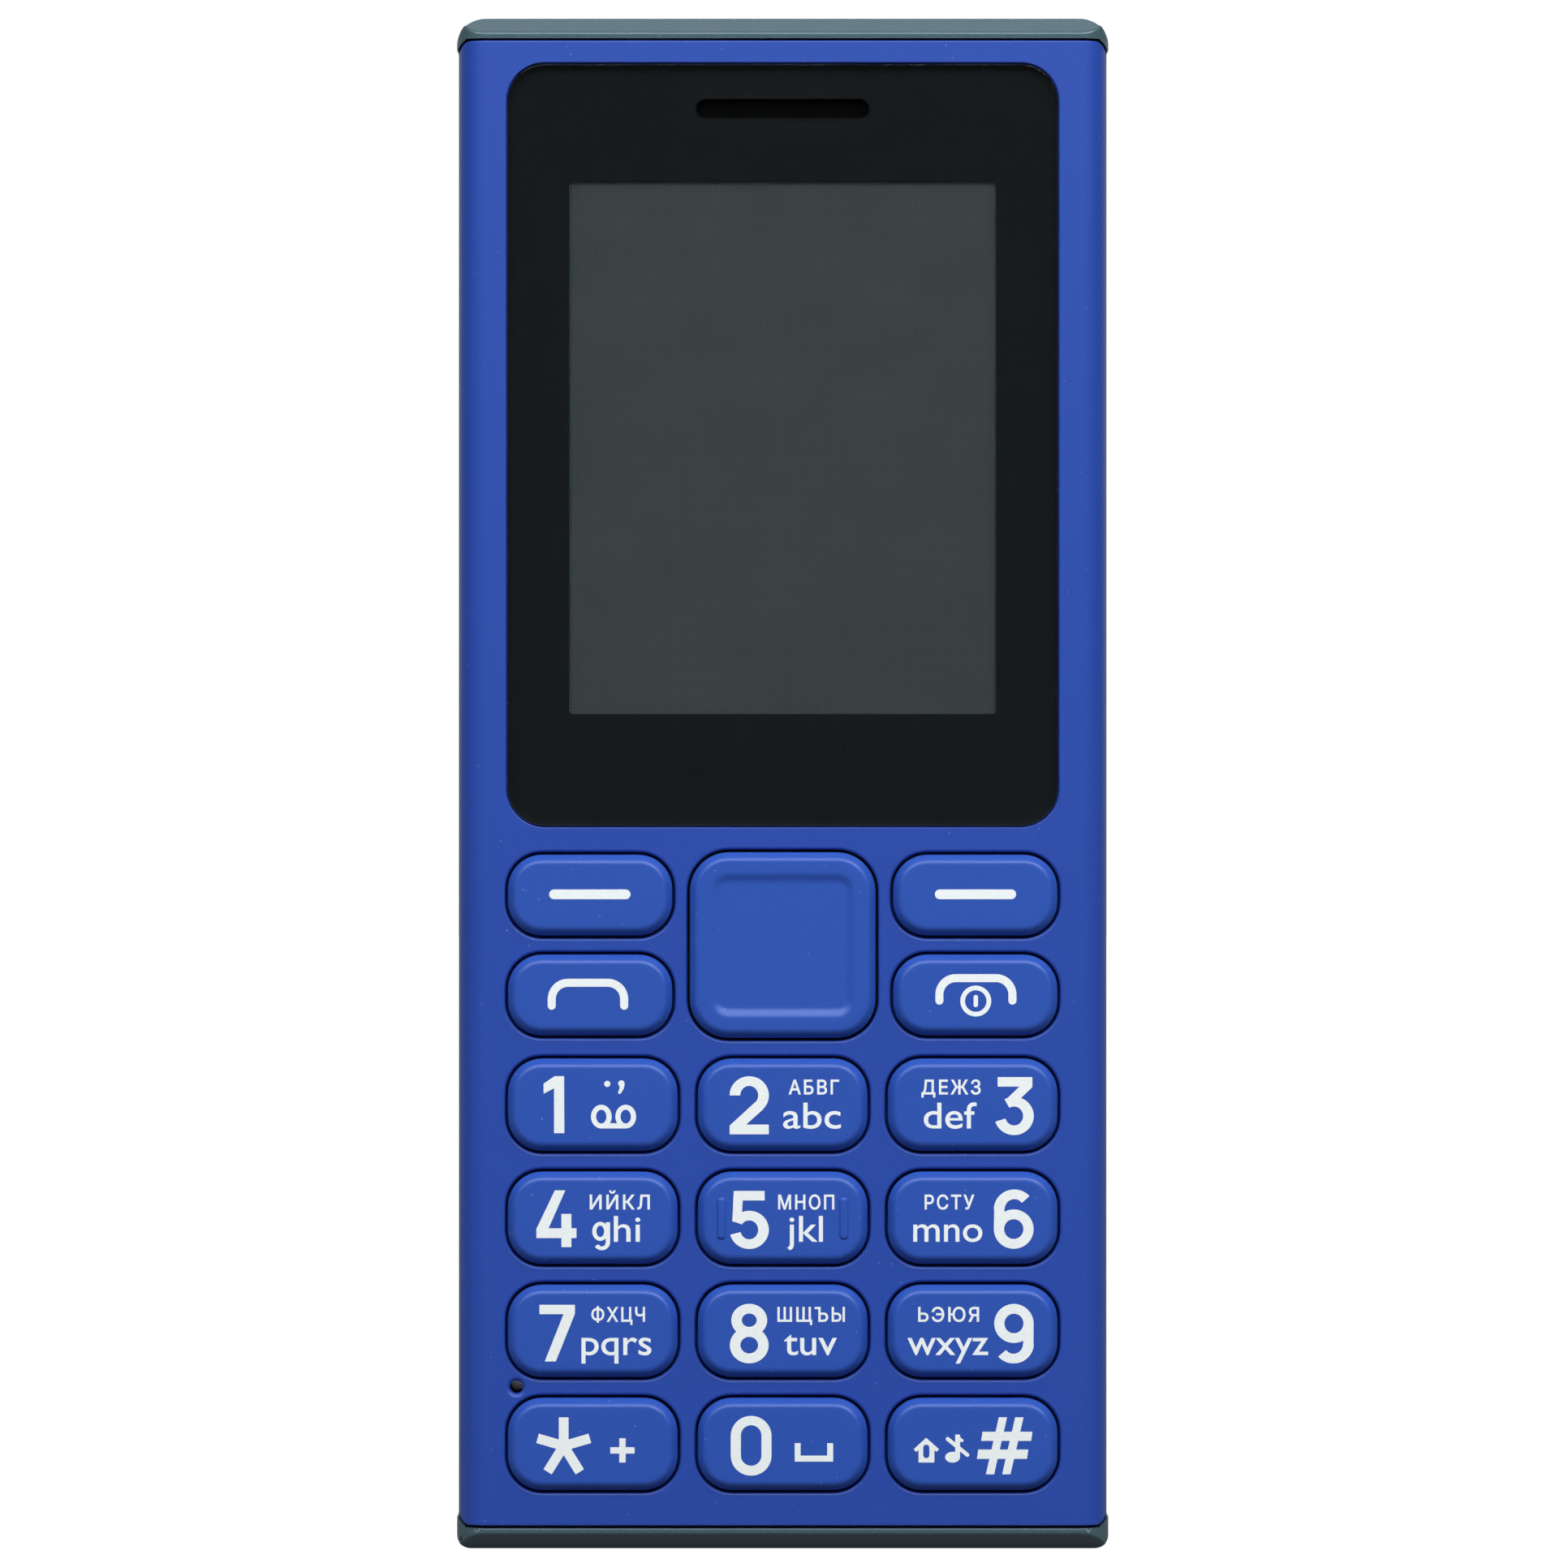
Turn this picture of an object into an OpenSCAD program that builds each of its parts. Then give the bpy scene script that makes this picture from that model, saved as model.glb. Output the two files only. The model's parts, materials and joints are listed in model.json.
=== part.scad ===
// Feature phone: a bar handset with a small colour display, a five-way key and a number pad.
// It stands on its bottom end and faces -Y, with X across and Z up.
// Each piece is drawn with x across, y up the phone from its bottom end, and its depth
// measured inwards from the front face. stand() then sets it upright.

/* [Display] */
// Visible width of the display
window_w = 32; // [30:0.5:35]
// Visible height of the display
window_h = 39.9; // [37:0.1:44]
// Black border of the lens at each side of the display
lens_side = 4.57; // [4:0.01:6]
// Black border of the lens above the display
lens_top = 8.86; // [8:0.02:11]
// Black border of the lens below the display
lens_bottom = 8.24; // [7.5:0.02:11]
// Corner radius of the lens
lens_r = 2.75; // [1.5:0.05:4]
// Thickness of the lens
lens_t = 1; // [0.7:0.05:1.5]
// How far the lens lies below the front face
lens_recess = 0.15; // [0.05:0.05:0.4]
// Gap round the lens in its pocket
lens_fit = 0.15; // [0.1:0.05:0.3]
// Thickness of the tape behind the lens
tape_t = 0.15; // [0.1:0.05:0.3]
// How far the tape stays back from the edge of the lens
tape_inset = 0.3; // [0.2:0.1:0.6]
// Thickness of the ledge that carries the lens
ledge_t = 0.5; // [0.4:0.05:1]
// How far the ledge stays back from the visible display
ledge_clear = 0.6; // [0.4:0.1:0.8]
// Thickness of the gasket between the ledge and the display glass
gasket_t = 0.2; // [0.1:0.05:0.3]
// Thickness of the display glass
panel_t = 1.1; // [0.9:0.05:1.4]
// Display glass beyond the visible area at the sides and top
panel_edge = 1.3; // [1.1:0.1:1.6]
// Display glass beyond the visible area at the bottom
panel_foot = 4; // [3:0.1:5]
// Backlight frame beyond the display glass
backlight_edge = 0.25; // [0.15:0.05:0.4]
// Width of the flexible tail of the display
flex_w = 14; // [10:0.5:20]
// Length of the flexible tail of the display
flex_l = 4; // [3:0.1:4.5]

/* [Earpiece] */
// Length of the earpiece slot
ear_w = 13; // [10:0.5:16]
// Height of the earpiece slot
ear_h = 1.46; // [1:0.02:2]
// Distance of the slot from the top edge of the lens
ear_drop = 3.27; // [2.5:0.01:4]
// Margin of the dust mesh round the slot
mesh_edge = 0.5; // [0.3:0.1:0.8]
// Width of the earpiece speaker
earpiece_w = 15; // [12:0.5:20]

/* [Keypad] */
// Height of a number key
key_h = 6.9; // [6:0.1:8]
// Gap between the columns of keys
key_gap_x = 1.52; // [1.4:0.02:2.2]
// Gap between the rows of keys
key_gap_y = 1.57; // [1.45:0.01:2.2]
// Corner radius of the keys
key_r = 2.55; // [2.2:0.05:2.9]
// How far the keys stand above the front face
key_rise = 0.7; // [0.5:0.05:1.2]
// Width of the bevel round a key top
key_bevel = 0.6; // [0.3:0.05:0.9]
// Height of the bevel round a key top
key_bevel_h = 0.4; // [0.2:0.05:0.45]
// Gap round a key in its opening
key_fit = 0.2; // [0.15:0.01:0.25]
// How far the retaining flange reaches out from a key
key_flange = 0.35; // [0.28:0.01:0.4]
// Thickness of the retaining flange
flange_t = 0.5; // [0.4:0.05:0.8]
// Travel of a key
key_travel = 0.3; // [0.2:0.05:0.5]
// Distance between the two ribs of key 5
rib_span = 9.16; // [7:0.02:9.5]
// Length of the ribs of key 5
rib_l = 3.16; // [2:0.02:4]
// Width of the ribs of key 5
rib_w = 0.66; // [0.4:0.02:0.9]
// Height of the ribs of key 5
rib_h = 0.15; // [0.1:0.05:0.3]
// Thickness of the keypad mat
mat_t = 0.6; // [0.4:0.05:1]
// Margin of the mat round the keys
mat_edge = 0.5; // [0.3:0.1:0.8]
// Height of the actuating nubs under the mat
nub_h = 0.25; // [0.15:0.05:0.5]
// Radius of the actuating nubs
nub_r = 1; // [0.6:0.1:1.5]
// Height of the metal domes
dome_h = 0.35; // [0.25:0.05:0.5]
// Radius of the metal domes
dome_r = 2; // [1.6:0.1:2.4]

/* [Navigation and call keys] */
// Width and height of the navigation key
nav_size = 13.9; // [13:0.1:16]
// Corner radius of the navigation key
nav_r = 2.9; // [2:0.05:3.5]
// Gap between the number keys and the navigation key
nav_gap = 1.55; // [1.4:0.05:2.5]
// Width of the rim round the dished middle
nav_rim = 1.6; // [1.2:0.05:2.5]
// Width of the slope down into the dish
dish_slope = 0.6; // [0.3:0.05:1]
// Depth of the dish
dish_depth = 0.25; // [0.15:0.05:0.6]
// Length of the retaining tabs of the navigation key
nav_tab = 4; // [3:0.1:5]
// Room over the retaining tabs for rocking
nav_lift = 0.3; // [0.3:0.01:0.35]
// Thickness of the retaining tabs
nav_tab_t = 0.4; // [0.3:0.05:0.45]
// Room between the navigation key and its pad for rocking
nav_rock = 0.2; // [0.2:0.01:0.25]
// Width of the pad behind the navigation key
pad_w = 12; // [11:0.1:12.5]
// Thickness of the pad behind the navigation key
pad_t = 0.3; // [0.2:0.05:0.35]
// Radius of the centre plunger
plunger_r = 1.5; // [1:0.1:2]
// Gap between the side keys and the navigation key
fn_gap_x = 1.32; // [1.25:0.01:2]
// Gap between the upper and lower side keys
fn_gap_y = 1.43; // [1.3:0.01:2]
// How much the pair of side keys is shorter than the navigation key, at each end
fn_inset = 0.185; // [0:0.005:0.5]

/* [Housing] */
// Blue front beside the lens and keys, out to the side of the phone
side_margin = 3.93; // [3.6:0.01:5]
// Blue front above the lens
top_margin = 1.8; // [1.5:0.05:3]
// Blue front between the lens and the navigation key
lens_gap = 2; // [1.6:0.05:3]
// Blue front below the number keys
bottom_margin = 2.7; // [2.2:0.05:4]
// Length of each end cap, up to the blue front
cap_len = 1.87; // [1.7:0.01:2.5]
// Rounding of the long front edges
edge_r = 2.2; // [1.5:0.05:2.8]
// Corner radius of the blue front
blue_corner_r = 1; // [0.6:0.1:1.4]
// How far the grey cover stands proud of the blue sides
shell_step = 0.2; // [0.1:0.05:0.4]
// Side wall of the front housing
side_wall = 1.9; // [1.6:0.05:2.3]
// End wall of the front housing and the mid frame
end_wall = 1.5; // [1.2:0.05:1.8]
// Radius of the microphone hole
mic_r = 0.5; // [0.3:0.05:0.5]
// Radius of the countersink round the microphone hole
mic_sink_r = 0.7; // [0.6:0.05:0.9]
// Depth of the countersink round the microphone hole
mic_sink = 0.2; // [0.1:0.05:0.4]
// Distance of the microphone hole from the edge of the keypad
mic_in = 0.62; // [0.5:0.01:0.7]
// Wall of the microphone boot
boot_wall = 0.3; // [0.2:0.05:0.3]
// Height of the microphone
mic_t = 0.65; // [0.5:0.05:0.9]
// Width of the microphone
mic_w = 2.2; // [1.8:0.1:2.3]

/* [Rear cover] */
// Back wall of the cover
rear_wall = 1.2; // [0.9:0.05:2]
// Side wall of the cover
cover_wall = 1.1; // [0.9:0.05:1.3]
// Gap between the cover and what it encloses
cover_fit = 0.2; // [0.15:0.01:0.3]
// Gap along the seam between the cover and the blue front
seam_gap = 0.18; // [0.12:0.01:0.25]
// Corner radius at the top seen from the front
corner_r = 2.2; // [1:0.1:3]
// Corner radius at the bottom seen from the front
low_corner_r = 1.1; // [0.6:0.1:2]
// Rounding of the long back edges
back_r = 3.5; // [2.5:0.1:4.5]
// Rounding of the back edges at the two ends
foot_r = 1.2; // [0.6:0.1:1.6]
// How far the end caps lie below the front face
land_drop = 0.12; // [0.05:0.01:0.3]
// Length of the front bevel of the end caps
bevel_len = 1.27; // [0.8:0.01:1.4]
// Depth of the front bevel of the end caps
bevel_depth = 1.6; // [1:0.05:2.2]
// Length of the locating tabs inside the cover
tab_l = 5; // [3:0.5:8]
// How far the locating tabs reach in
tab_reach = 0.4; // [0.2:0.05:0.5]
// Depth of the locating tabs
tab_depth = 1.5; // [1:0.1:3]
// Place of the lowest tabs above the bottom of the battery bay
tab_low = 10; // [8:0.5:14]
// Place of the highest tabs above the top of the battery bay
tab_high = 8; // [6:0.5:12]
// Radius of the thumb notch at the bottom
notch_r = 7; // [5:0.5:10]
// Depth of the thumb notch at the bottom
notch_depth = 0.6; // [0.3:0.05:0.8]

/* [Board and frame] */
// Thickness of the main board
board_t = 1; // [0.8:0.05:1.4]
// Room for parts on the back of the board
part_h = 1.3; // [1.1:0.05:2]
// Gap between the board and the walls round it
board_fit = 0.25; // [0.2:0.05:0.4]
// Thickness of the floor of the mid frame
floor_t = 0.8; // [0.6:0.05:1.4]
// Wall of the mid frame round the board
rim_wall = 0.9; // [0.75:0.05:1]
// Height of the shield cans
shield_t = 1.1; // [0.9:0.05:1.1]
// Thickness of the sheet of the shield cans
shield_sheet = 0.2; // [0.15:0.05:0.3]
// Length of a shield can
shield_l = 12; // [9:0.5:13]
// How much narrower than the battery bay the shield cans are, at each side
shield_inset = 2.4; // [2:0.1:4]
// Width of a SIM socket
sim_w = 15.5; // [14:0.1:16]
// Length of a SIM socket
sim_l = 13; // [11:0.5:15]
// Width of the memory card socket
card_w = 13; // [12:0.5:16]
// Length of the memory card socket
card_l = 12; // [11:0.5:14]
// Height of the card sockets
socket_t = 1.2; // [1:0.05:1.2]
// Gap between the SIM sockets
socket_gap = 2; // [1.5:0.1:3]
// Distance of the SIM sockets from the bottom of the battery bay
socket_inset = 3; // [2:0.1:4]
// Distance between the SIM sockets and the memory card socket
socket_step = 4; // [3:0.1:5]
// Radius of the screw bosses
boss_r = 1.35; // [1.2:0.05:1.5]
// Radius of the screw shanks
screw_r = 0.55; // [0.4:0.05:0.6]
// Radius of the screw heads
head_r = 1.2; // [1:0.05:1.3]
// Height of the screw heads
head_h = 0.8; // [0.5:0.05:1]
// Length of thread in a boss
screw_grip = 3.2; // [2:0.1:3.4]

/* [Battery] */
// Thickness of the battery
battery_t = 4.6; // [4.4:0.1:6]
// Mid frame beside the battery bay, each side
rail_w = 5.6; // [5.2:0.1:7]
// Wall between the battery bay and the hollow of the rail
rail_wall = 1.2; // [0.8:0.1:1.6]
// Mid frame below the battery bay
lower_block = 13.3; // [12.5:0.1:16]
// Mid frame above the battery bay
upper_block = 36; // [34:0.5:42]
// Gap round the battery
battery_fit = 0.1; // [0.05:0.01:0.2]
// Length of the battery contact block
contact_l = 3; // [2:0.1:4]
// Width of the battery contact block
contact_w = 12; // [9:0.5:16]
// Height of the antenna strip
antenna_h = 6.5; // [4:0.5:7]
// Width of the antenna strip
antenna_w = 38; // [30:0.5:40]
// Thickness of the antenna strip
antenna_t = 0.15; // [0.1:0.05:0.3]

/* [Ports and sounders] */
// Radius of the headset jack bore
jack_r = 1.8; // [1.2:0.05:2]
// Length of the headset jack
jack_l = 13; // [10:0.5:14]
// Wall of the headset jack round its bore
jack_wall = 0.7; // [0.5:0.05:0.9]
// Distance of the headset jack from the side of the phone
jack_in = 11; // [10:0.1:13]
// Width of the charging socket
usb_w = 7.8; // [7:0.1:9]
// Height of the charging socket
usb_h = 2.6; // [2.4:0.1:3.2]
// Length of the charging socket
usb_l = 5.6; // [5:0.1:7]
// Sheet thickness of the charging socket
usb_sheet = 0.3; // [0.2:0.05:0.4]
// Distance of the charging socket from the side of the phone
usb_in = 15.5; // [13:0.1:16]
// Radius of the torch lens
torch_r = 1.2; // [1:0.05:1.3]
// Distance between the torch and the headset jack
torch_gap = 10.5; // [8:0.1:13]
// Room round the charging socket in the end of the cover
port_clear = 0.6; // [0.3:0.05:0.8]
// Width of the loudspeaker
speaker_w = 15; // [12:0.5:16]
// Length of the loudspeaker
speaker_l = 11; // [9:0.5:12]
// Thickness of the loudspeaker
speaker_t = 3; // [2:0.1:3.4]
// Corner radius of the loudspeaker
speaker_r = 1.5; // [1:0.1:2]
// Distance of the loudspeaker from the side of the phone
speaker_in = 15.5; // [13.5:0.1:16]
// Distance of the loudspeaker and motor from the top of the mid frame
sounder_drop = 22; // [21:0.1:24]
// Slots over the loudspeaker
slot_count = 4; // [2:1:5]
// Width of a slot over the loudspeaker
slot_w = 1.1; // [0.8:0.1:1.4]
// Distance between the slots over the loudspeaker
slot_pitch = 2.4; // [2:0.1:2.6]
// Length of a slot over the loudspeaker
slot_l = 11; // [8:0.5:12]
// Radius of the vibration motor
motor_r = 4; // [3.5:0.1:4.5]
// Thickness of the vibration motor
motor_t = 2.6; // [2.4:0.1:3]
// Sheet thickness of the vibration motor
motor_sheet = 0.25; // [0.2:0.05:0.3]
// Radius of the motor shaft
shaft_r = 0.4; // [0.3:0.05:0.6]
// Distance of the vibration motor from the side of the phone
motor_in = 15.5; // [13:0.1:17]

/* [Hidden] */
$fn = 48;
// Small gaps: under a resting key, under a pressed key, over a dome, under the navigation pad,
// round a fixed part, round a part in its pocket
seat_gap = 0.05;
press_gap = 0.1;
dome_gap = 0.05;
pad_gap = 0.08;
part_gap = 0.4;
pocket_fit = 0.15;
// Running gap round the motor shaft and between the rotor and the can
shaft_fit = 0.05;
rotor_fit = 0.3;
// Excess of a cut past the face that it opens
cut = 1;
columns = 3;
rows = 4;
// Corner radius of a slot with round ends, as a part of its width
round_end = 0.49;
// Length of the cover's corners beside the blue front, as a part of that front's corner radius
horn_share = 0.5;

// Across the phone
lens_w = window_w + 2 * lens_side;
key_w = (lens_w - (columns - 1) * key_gap_x) / columns;
pitch_x = key_w + key_gap_x;
pitch_y = key_h + key_gap_y;
body_w = lens_w + 2 * side_margin;
blue_w = body_w - 2 * shell_step;
tray_w = blue_w - 2 * side_wall;
fn_w = (lens_w - nav_size) / 2 - fn_gap_x;
fn_h = (nav_size - fn_gap_y) / 2 - fn_inset;
fn_x = (lens_w - fn_w) / 2;
fn_y = (fn_h + fn_gap_y) / 2;
frame_w = body_w - 2 * cover_wall - 2 * cover_fit;
bay_w = frame_w - 2 * rail_w;
jack_x = body_w / 2 - jack_in;
usb_x = usb_in - body_w / 2;
torch_x = jack_x - torch_gap;
speaker_x = speaker_in - body_w / 2;
motor_x = body_w / 2 - motor_in;
sim_x = (sim_w + socket_gap) / 2;

// Up the phone
blue_y0 = cap_len;
keys_y0 = blue_y0 + bottom_margin;
nav_y = keys_y0 + rows * key_h + (rows - 1) * key_gap_y + nav_gap + nav_size / 2;
lens_y0 = nav_y + nav_size / 2 + lens_gap;
window_y0 = lens_y0 + lens_bottom;
window_y1 = window_y0 + window_h;
lens_y1 = window_y1 + lens_top;
lens_y = (lens_y0 + lens_y1) / 2;
window_y = (window_y0 + window_y1) / 2;
blue_y1 = lens_y1 + top_margin;
body_h = blue_y1 + cap_len;
horn_l = blue_corner_r * horn_share;
horn_w = horn_l + shell_step;
tray_y0 = blue_y0 + end_wall;
tray_y1 = blue_y1 - end_wall;
cap_wall = cap_len - seam_gap;
cap_y = body_h - cap_wall;
ear_y = lens_y1 - ear_drop;
panel_y0 = window_y0 - panel_foot;
panel_y1 = window_y1 + panel_edge;
backlight_y0 = panel_y0 - backlight_edge;
backlight_y1 = panel_y1 + backlight_edge;
panel_w = window_w + 2 * panel_edge;
backlight_w = panel_w + 2 * backlight_edge;
mat_y0 = keys_y0 - mat_edge;
mat_y1 = nav_y + nav_size / 2 + mat_edge;
bay_y0 = blue_y0 + lower_block;
bay_y1 = blue_y1 - upper_block;
battery_y1 = bay_y1 - contact_l - part_gap;
sounder_y = blue_y1 - sounder_drop;
sim_y = bay_y0 + socket_inset + sim_l / 2;
card_y = sim_y + sim_l / 2 + socket_step + card_l / 2;

// Depth behind the front face
front_wall = lens_recess + lens_t + tape_t + ledge_t;
lens_back = lens_recess + lens_t;
ledge_d = lens_back + tape_t;
flange_d = front_wall + seat_gap;
mat_d = flange_d + flange_t + key_travel + press_gap;
nub_d = mat_d + mat_t;
dome_d = nub_d + nub_h + dome_gap;
board_d = dome_d + dome_h;
board_back = board_d + board_t;
seam_d = board_back;
floor_d = board_back + part_h + press_gap;
floor_back = floor_d + floor_t;
battery_d = floor_back + battery_fit;
bay_back = battery_d + battery_t;
wall_d = bay_back + cover_fit;
back_d = wall_d + rear_wall;
panel_d = front_wall + gasket_t;
nav_tab_d = front_wall + nav_lift;
pad_d = nav_tab_d + nav_tab_t + nav_rock;
plunger_d = pad_d + pad_t + pad_gap;
plunger_back = dome_d - key_travel - seat_gap / 2;
seat_d = floor_back + floor_t;
jack_axis_d = board_back + jack_r + jack_wall;
usb_axis_d = board_back + usb_h / 2;
torch_axis_d = board_back + torch_r + jack_wall;
speaker_d = bay_back - speaker_t - tape_t;
motor_d = bay_back - motor_t;

// The whole phone is centred front to back on its keys and its back
proud = key_rise + rib_h;
face_y = proud - (back_d + proud) / 2;

// Places of the screws: beside the lens, and between the two lowest rows of keys
boss_x = tray_w / 2 - boss_r - pocket_fit;
boss_inset = 3.7;
boss_drop = 5.3;
gap_y = keys_y0 + key_h + key_gap_y / 2;
screws = [
    for (s = [-1, 1]) [s * boss_x, lens_y0 + boss_inset],
    for (s = [-1, 1]) [s * boss_x, lens_y1 - boss_drop],
    for (s = [-1, 1]) [s * pitch_x / 2, gap_y]
];
mic_xy = [mic_in - lens_w / 2, gap_y];

// Number keys from the bottom row up, and side keys from the bottom row up
number_keys = [
    "key_star", "key_0", "key_hash", "key_7", "key_8", "key_9",
    "key_4", "key_5", "key_6", "key_1", "key_2", "key_3"
];
side_keys = ["call_key", "end_key", "soft_key_left", "soft_key_right"];
function number_xy(i) = [
    (i % columns - (columns - 1) / 2) * pitch_x,
    keys_y0 + key_h / 2 + floor(i / columns) * pitch_y
];
function side_xy(i) = [
    (i % 2 * 2 - 1) * fn_x,
    nav_y + (floor(i / 2) * 2 - 1) * fn_y
];
number_places = [for (i = [0 : len(number_keys) - 1]) number_xy(i)];
side_places = [for (i = [0 : len(side_keys) - 1]) side_xy(i)];
dome_inset = 1.4;
dome_reach = pad_w / 2 - dome_inset;
nav_domes = [
    [0, nav_y], [dome_reach, nav_y], [-dome_reach, nav_y],
    [0, nav_y + dome_reach], [0, nav_y - dome_reach]
];

blue = "#3552ad";
key_blue = "#3559b3";
grey = "#5a6c73";
black = "#1a1e21";
steel = "#b9bdc2";
silicone = "#c9ccd2";
brass = "#c9a96a";

// Sets a piece upright, with its front towards -Y
module stand() {
    translate([0, face_y, 0]) rotate([90, 0, 0]) children();
}

// Outline extruded between two depths
module slab(d0, d1) {
    translate([0, 0, -d1]) linear_extrude(height = d1 - d0) children();
}

// Section across the phone carried up it from y0 to y1
module run(y0, y1) {
    translate([0, y1, 0]) rotate([90, 0, 0]) linear_extrude(height = y1 - y0) children();
}

// Side outline carried across the phone
module across(w) {
    translate([-w / 2, 0, 0]) rotate([90, 0, 90]) linear_extrude(height = w) children();
}

// Round bar up the phone from y0 to y1
module bar(x, d, r, y0, y1) {
    translate([x, y1, -d]) rotate([90, 0, 0]) cylinder(h = y1 - y0, r = r);
}

// Round pin along the depth
module pin(r, d0, d1) {
    translate([0, 0, -d1]) cylinder(h = d1 - d0, r = r);
}

// Rectangle given by its edges
module panel(w, y0, y1) {
    translate([-w / 2, y0]) square([w, y1 - y0]);
}

// Rectangle with round corners
module plate(w, h, r) {
    square([w - 2 * r, h], center = true);
    square([w, h - 2 * r], center = true);
    for (sx = [-1, 1], sy = [-1, 1]) translate([sx * (w / 2 - r), sy * (h / 2 - r)]) circle(r);
}

// Section across the phone with its own rounding at the front and the back
module section(w, d0, d1, r_front, r_back) {
    translate([-w / 2, r_back - d1]) square([w, d1 - d0 - r_front - r_back]);
    if (r_front > 0) round_edge(w, -d0 - r_front, r_front, 1);
    if (r_back > 0) round_edge(w, r_back - d1, r_back, -1);
}

// Strip with two round corners, on one side of a line
module round_edge(w, z, r, side) {
    translate([r - w / 2, side > 0 ? z : z - r]) square([w - 2 * r, r]);
    for (s = [-1, 1]) translate([s * (w / 2 - r), z]) intersection() {
        circle(r);
        translate([-r, side > 0 ? 0 : -r]) square([2 * r, r]);
    }
}

// Body of a key: skirt through the housing and a bevelled top
module key_cap(w, h, r, back) {
    bevel_z = key_rise - key_bevel_h;
    slab(-bevel_z, back) plate(w, h, r);
    translate([0, 0, bevel_z]) frustum(w, h, r, key_bevel, key_bevel_h);
}

// Block with round corners whose sides lean in by the same amount all round
module frustum(w, h, r, lean, height) {
    sheet = height / 40;
    hull() {
        linear_extrude(height = sheet) plate(w, h, r, $fn = 32);
        translate([0, 0, height - sheet]) linear_extrude(height = sheet)
            plate(w - 2 * lean, h - 2 * lean, r - lean, $fn = 32);
    }
}

// Key with its cap and the flange that keeps it in the housing
module flanged_key(w, h) {
    key_cap(w, h, key_r, flange_d + flange_t);
    slab(flange_d, flange_d + flange_t)
        plate(w + 2 * key_flange, h + 2 * key_flange, key_r + key_flange);
}

// Openings of the housing for all the keys
module key_openings() {
    for (p = number_places) translate(p)
        plate(key_w + 2 * key_fit, key_h + 2 * key_fit, key_r + key_fit);
    for (p = side_places) translate(p)
        plate(fn_w + 2 * key_fit, fn_h + 2 * key_fit, key_r + key_fit);
    translate([0, nav_y]) plate(nav_size + 2 * key_fit, nav_size + 2 * key_fit, nav_r + key_fit);
}

// Outline of the blue front, with a gap round it
module blue_outline(gap) {
    translate([0, (blue_y0 + blue_y1) / 2])
        plate(blue_w + 2 * gap, blue_y1 - blue_y0 + 2 * gap, blue_corner_r + gap);
}

module front_housing() {
    color(blue) stand() difference() {
        union() {
            difference() {
                intersection() {
                    run(blue_y0 - cut, blue_y1 + cut) section(blue_w, 0, seam_d, edge_r, 0);
                    slab(-cut, seam_d + cut) blue_outline(0);
                }
                slab(front_wall, seam_d + cut) panel(tray_w, tray_y0, tray_y1);
            }
            for (p = screws) translate(p) pin(boss_r, front_wall - ledge_t / 2, floor_d);
        }
        slab(-cut, ledge_d) translate([0, lens_y])
            plate(lens_w + 2 * lens_fit, lens_y1 - lens_y0 + 2 * lens_fit, lens_r + lens_fit);
        slab(0, front_wall + cut)
            panel(window_w + 2 * ledge_clear, window_y0 - ledge_clear, window_y1 + ledge_clear);
        slab(0, front_wall + cut) translate([0, ear_y]) plate(ear_w, ear_h, ear_h * round_end);
        slab(-cut, front_wall + cut / 2) key_openings();
        translate(mic_xy) pin(mic_r, -cut, front_wall + cut);
        translate(concat(mic_xy, [-mic_sink])) cylinder(h = mic_sink, r1 = mic_r, r2 = mic_sink_r);
        for (p = screws) translate(p)
            pin(screw_r + shaft_fit, floor_d - screw_grip - press_gap, floor_d + cut);
    }
}

module display_lens() {
    color(black) stand() slab(lens_recess, lens_back) difference() {
        translate([0, lens_y]) plate(lens_w, lens_y1 - lens_y0, lens_r);
        translate([0, ear_y]) plate(ear_w, ear_h, ear_h * round_end);
    }
}

module lens_tape() {
    color("dimgray") stand() slab(lens_back, ledge_d) difference() {
        translate([0, lens_y])
            plate(lens_w - 2 * tape_inset, lens_y1 - lens_y0 - 2 * tape_inset, lens_r - tape_inset);
        panel(window_w + 2 * ledge_clear, window_y0 - ledge_clear, window_y1 + ledge_clear);
        translate([0, ear_y]) square(
            [ear_w + 2 * mesh_edge + 2 * shaft_fit, ear_h + 2 * mesh_edge + 2 * shaft_fit], center = true);
    }
}

module earpiece_mesh() {
    color(black) stand() slab(lens_back, ledge_d) translate([0, ear_y])
        square([ear_w + 2 * mesh_edge, ear_h + 2 * mesh_edge], center = true);
}

module earpiece_speaker() {
    color(steel) stand() slab(panel_d, board_d)
        panel(earpiece_w, backlight_y1 + part_gap, tray_y1 - part_gap);
}

module display_gasket() {
    color("dimgray") stand() slab(front_wall, panel_d) difference() {
        panel(panel_w, panel_y0, panel_y1);
        panel(window_w + 2 * ledge_clear, window_y0 - ledge_clear, window_y1 + ledge_clear);
    }
}

module display_panel() {
    color("#3b4444") stand() slab(panel_d, panel_d + panel_t) panel(panel_w, panel_y0, panel_y1);
}

module display_backlight() {
    color("white") stand() slab(panel_d + panel_t, board_d)
        panel(backlight_w, backlight_y0, backlight_y1);
}

module display_flex() {
    connector_l = flex_l / 2;
    connector_w = flex_w - 2.8;
    connector_t = 0.45;
    color("#8a5a2b") stand() {
        slab(board_d - tape_t, board_d) panel(flex_w, backlight_y0 - flex_l, backlight_y0);
        slab(board_d - connector_t, board_d)
            panel(connector_w, backlight_y0 - flex_l, backlight_y0 - flex_l + connector_l);
    }
}

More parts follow.
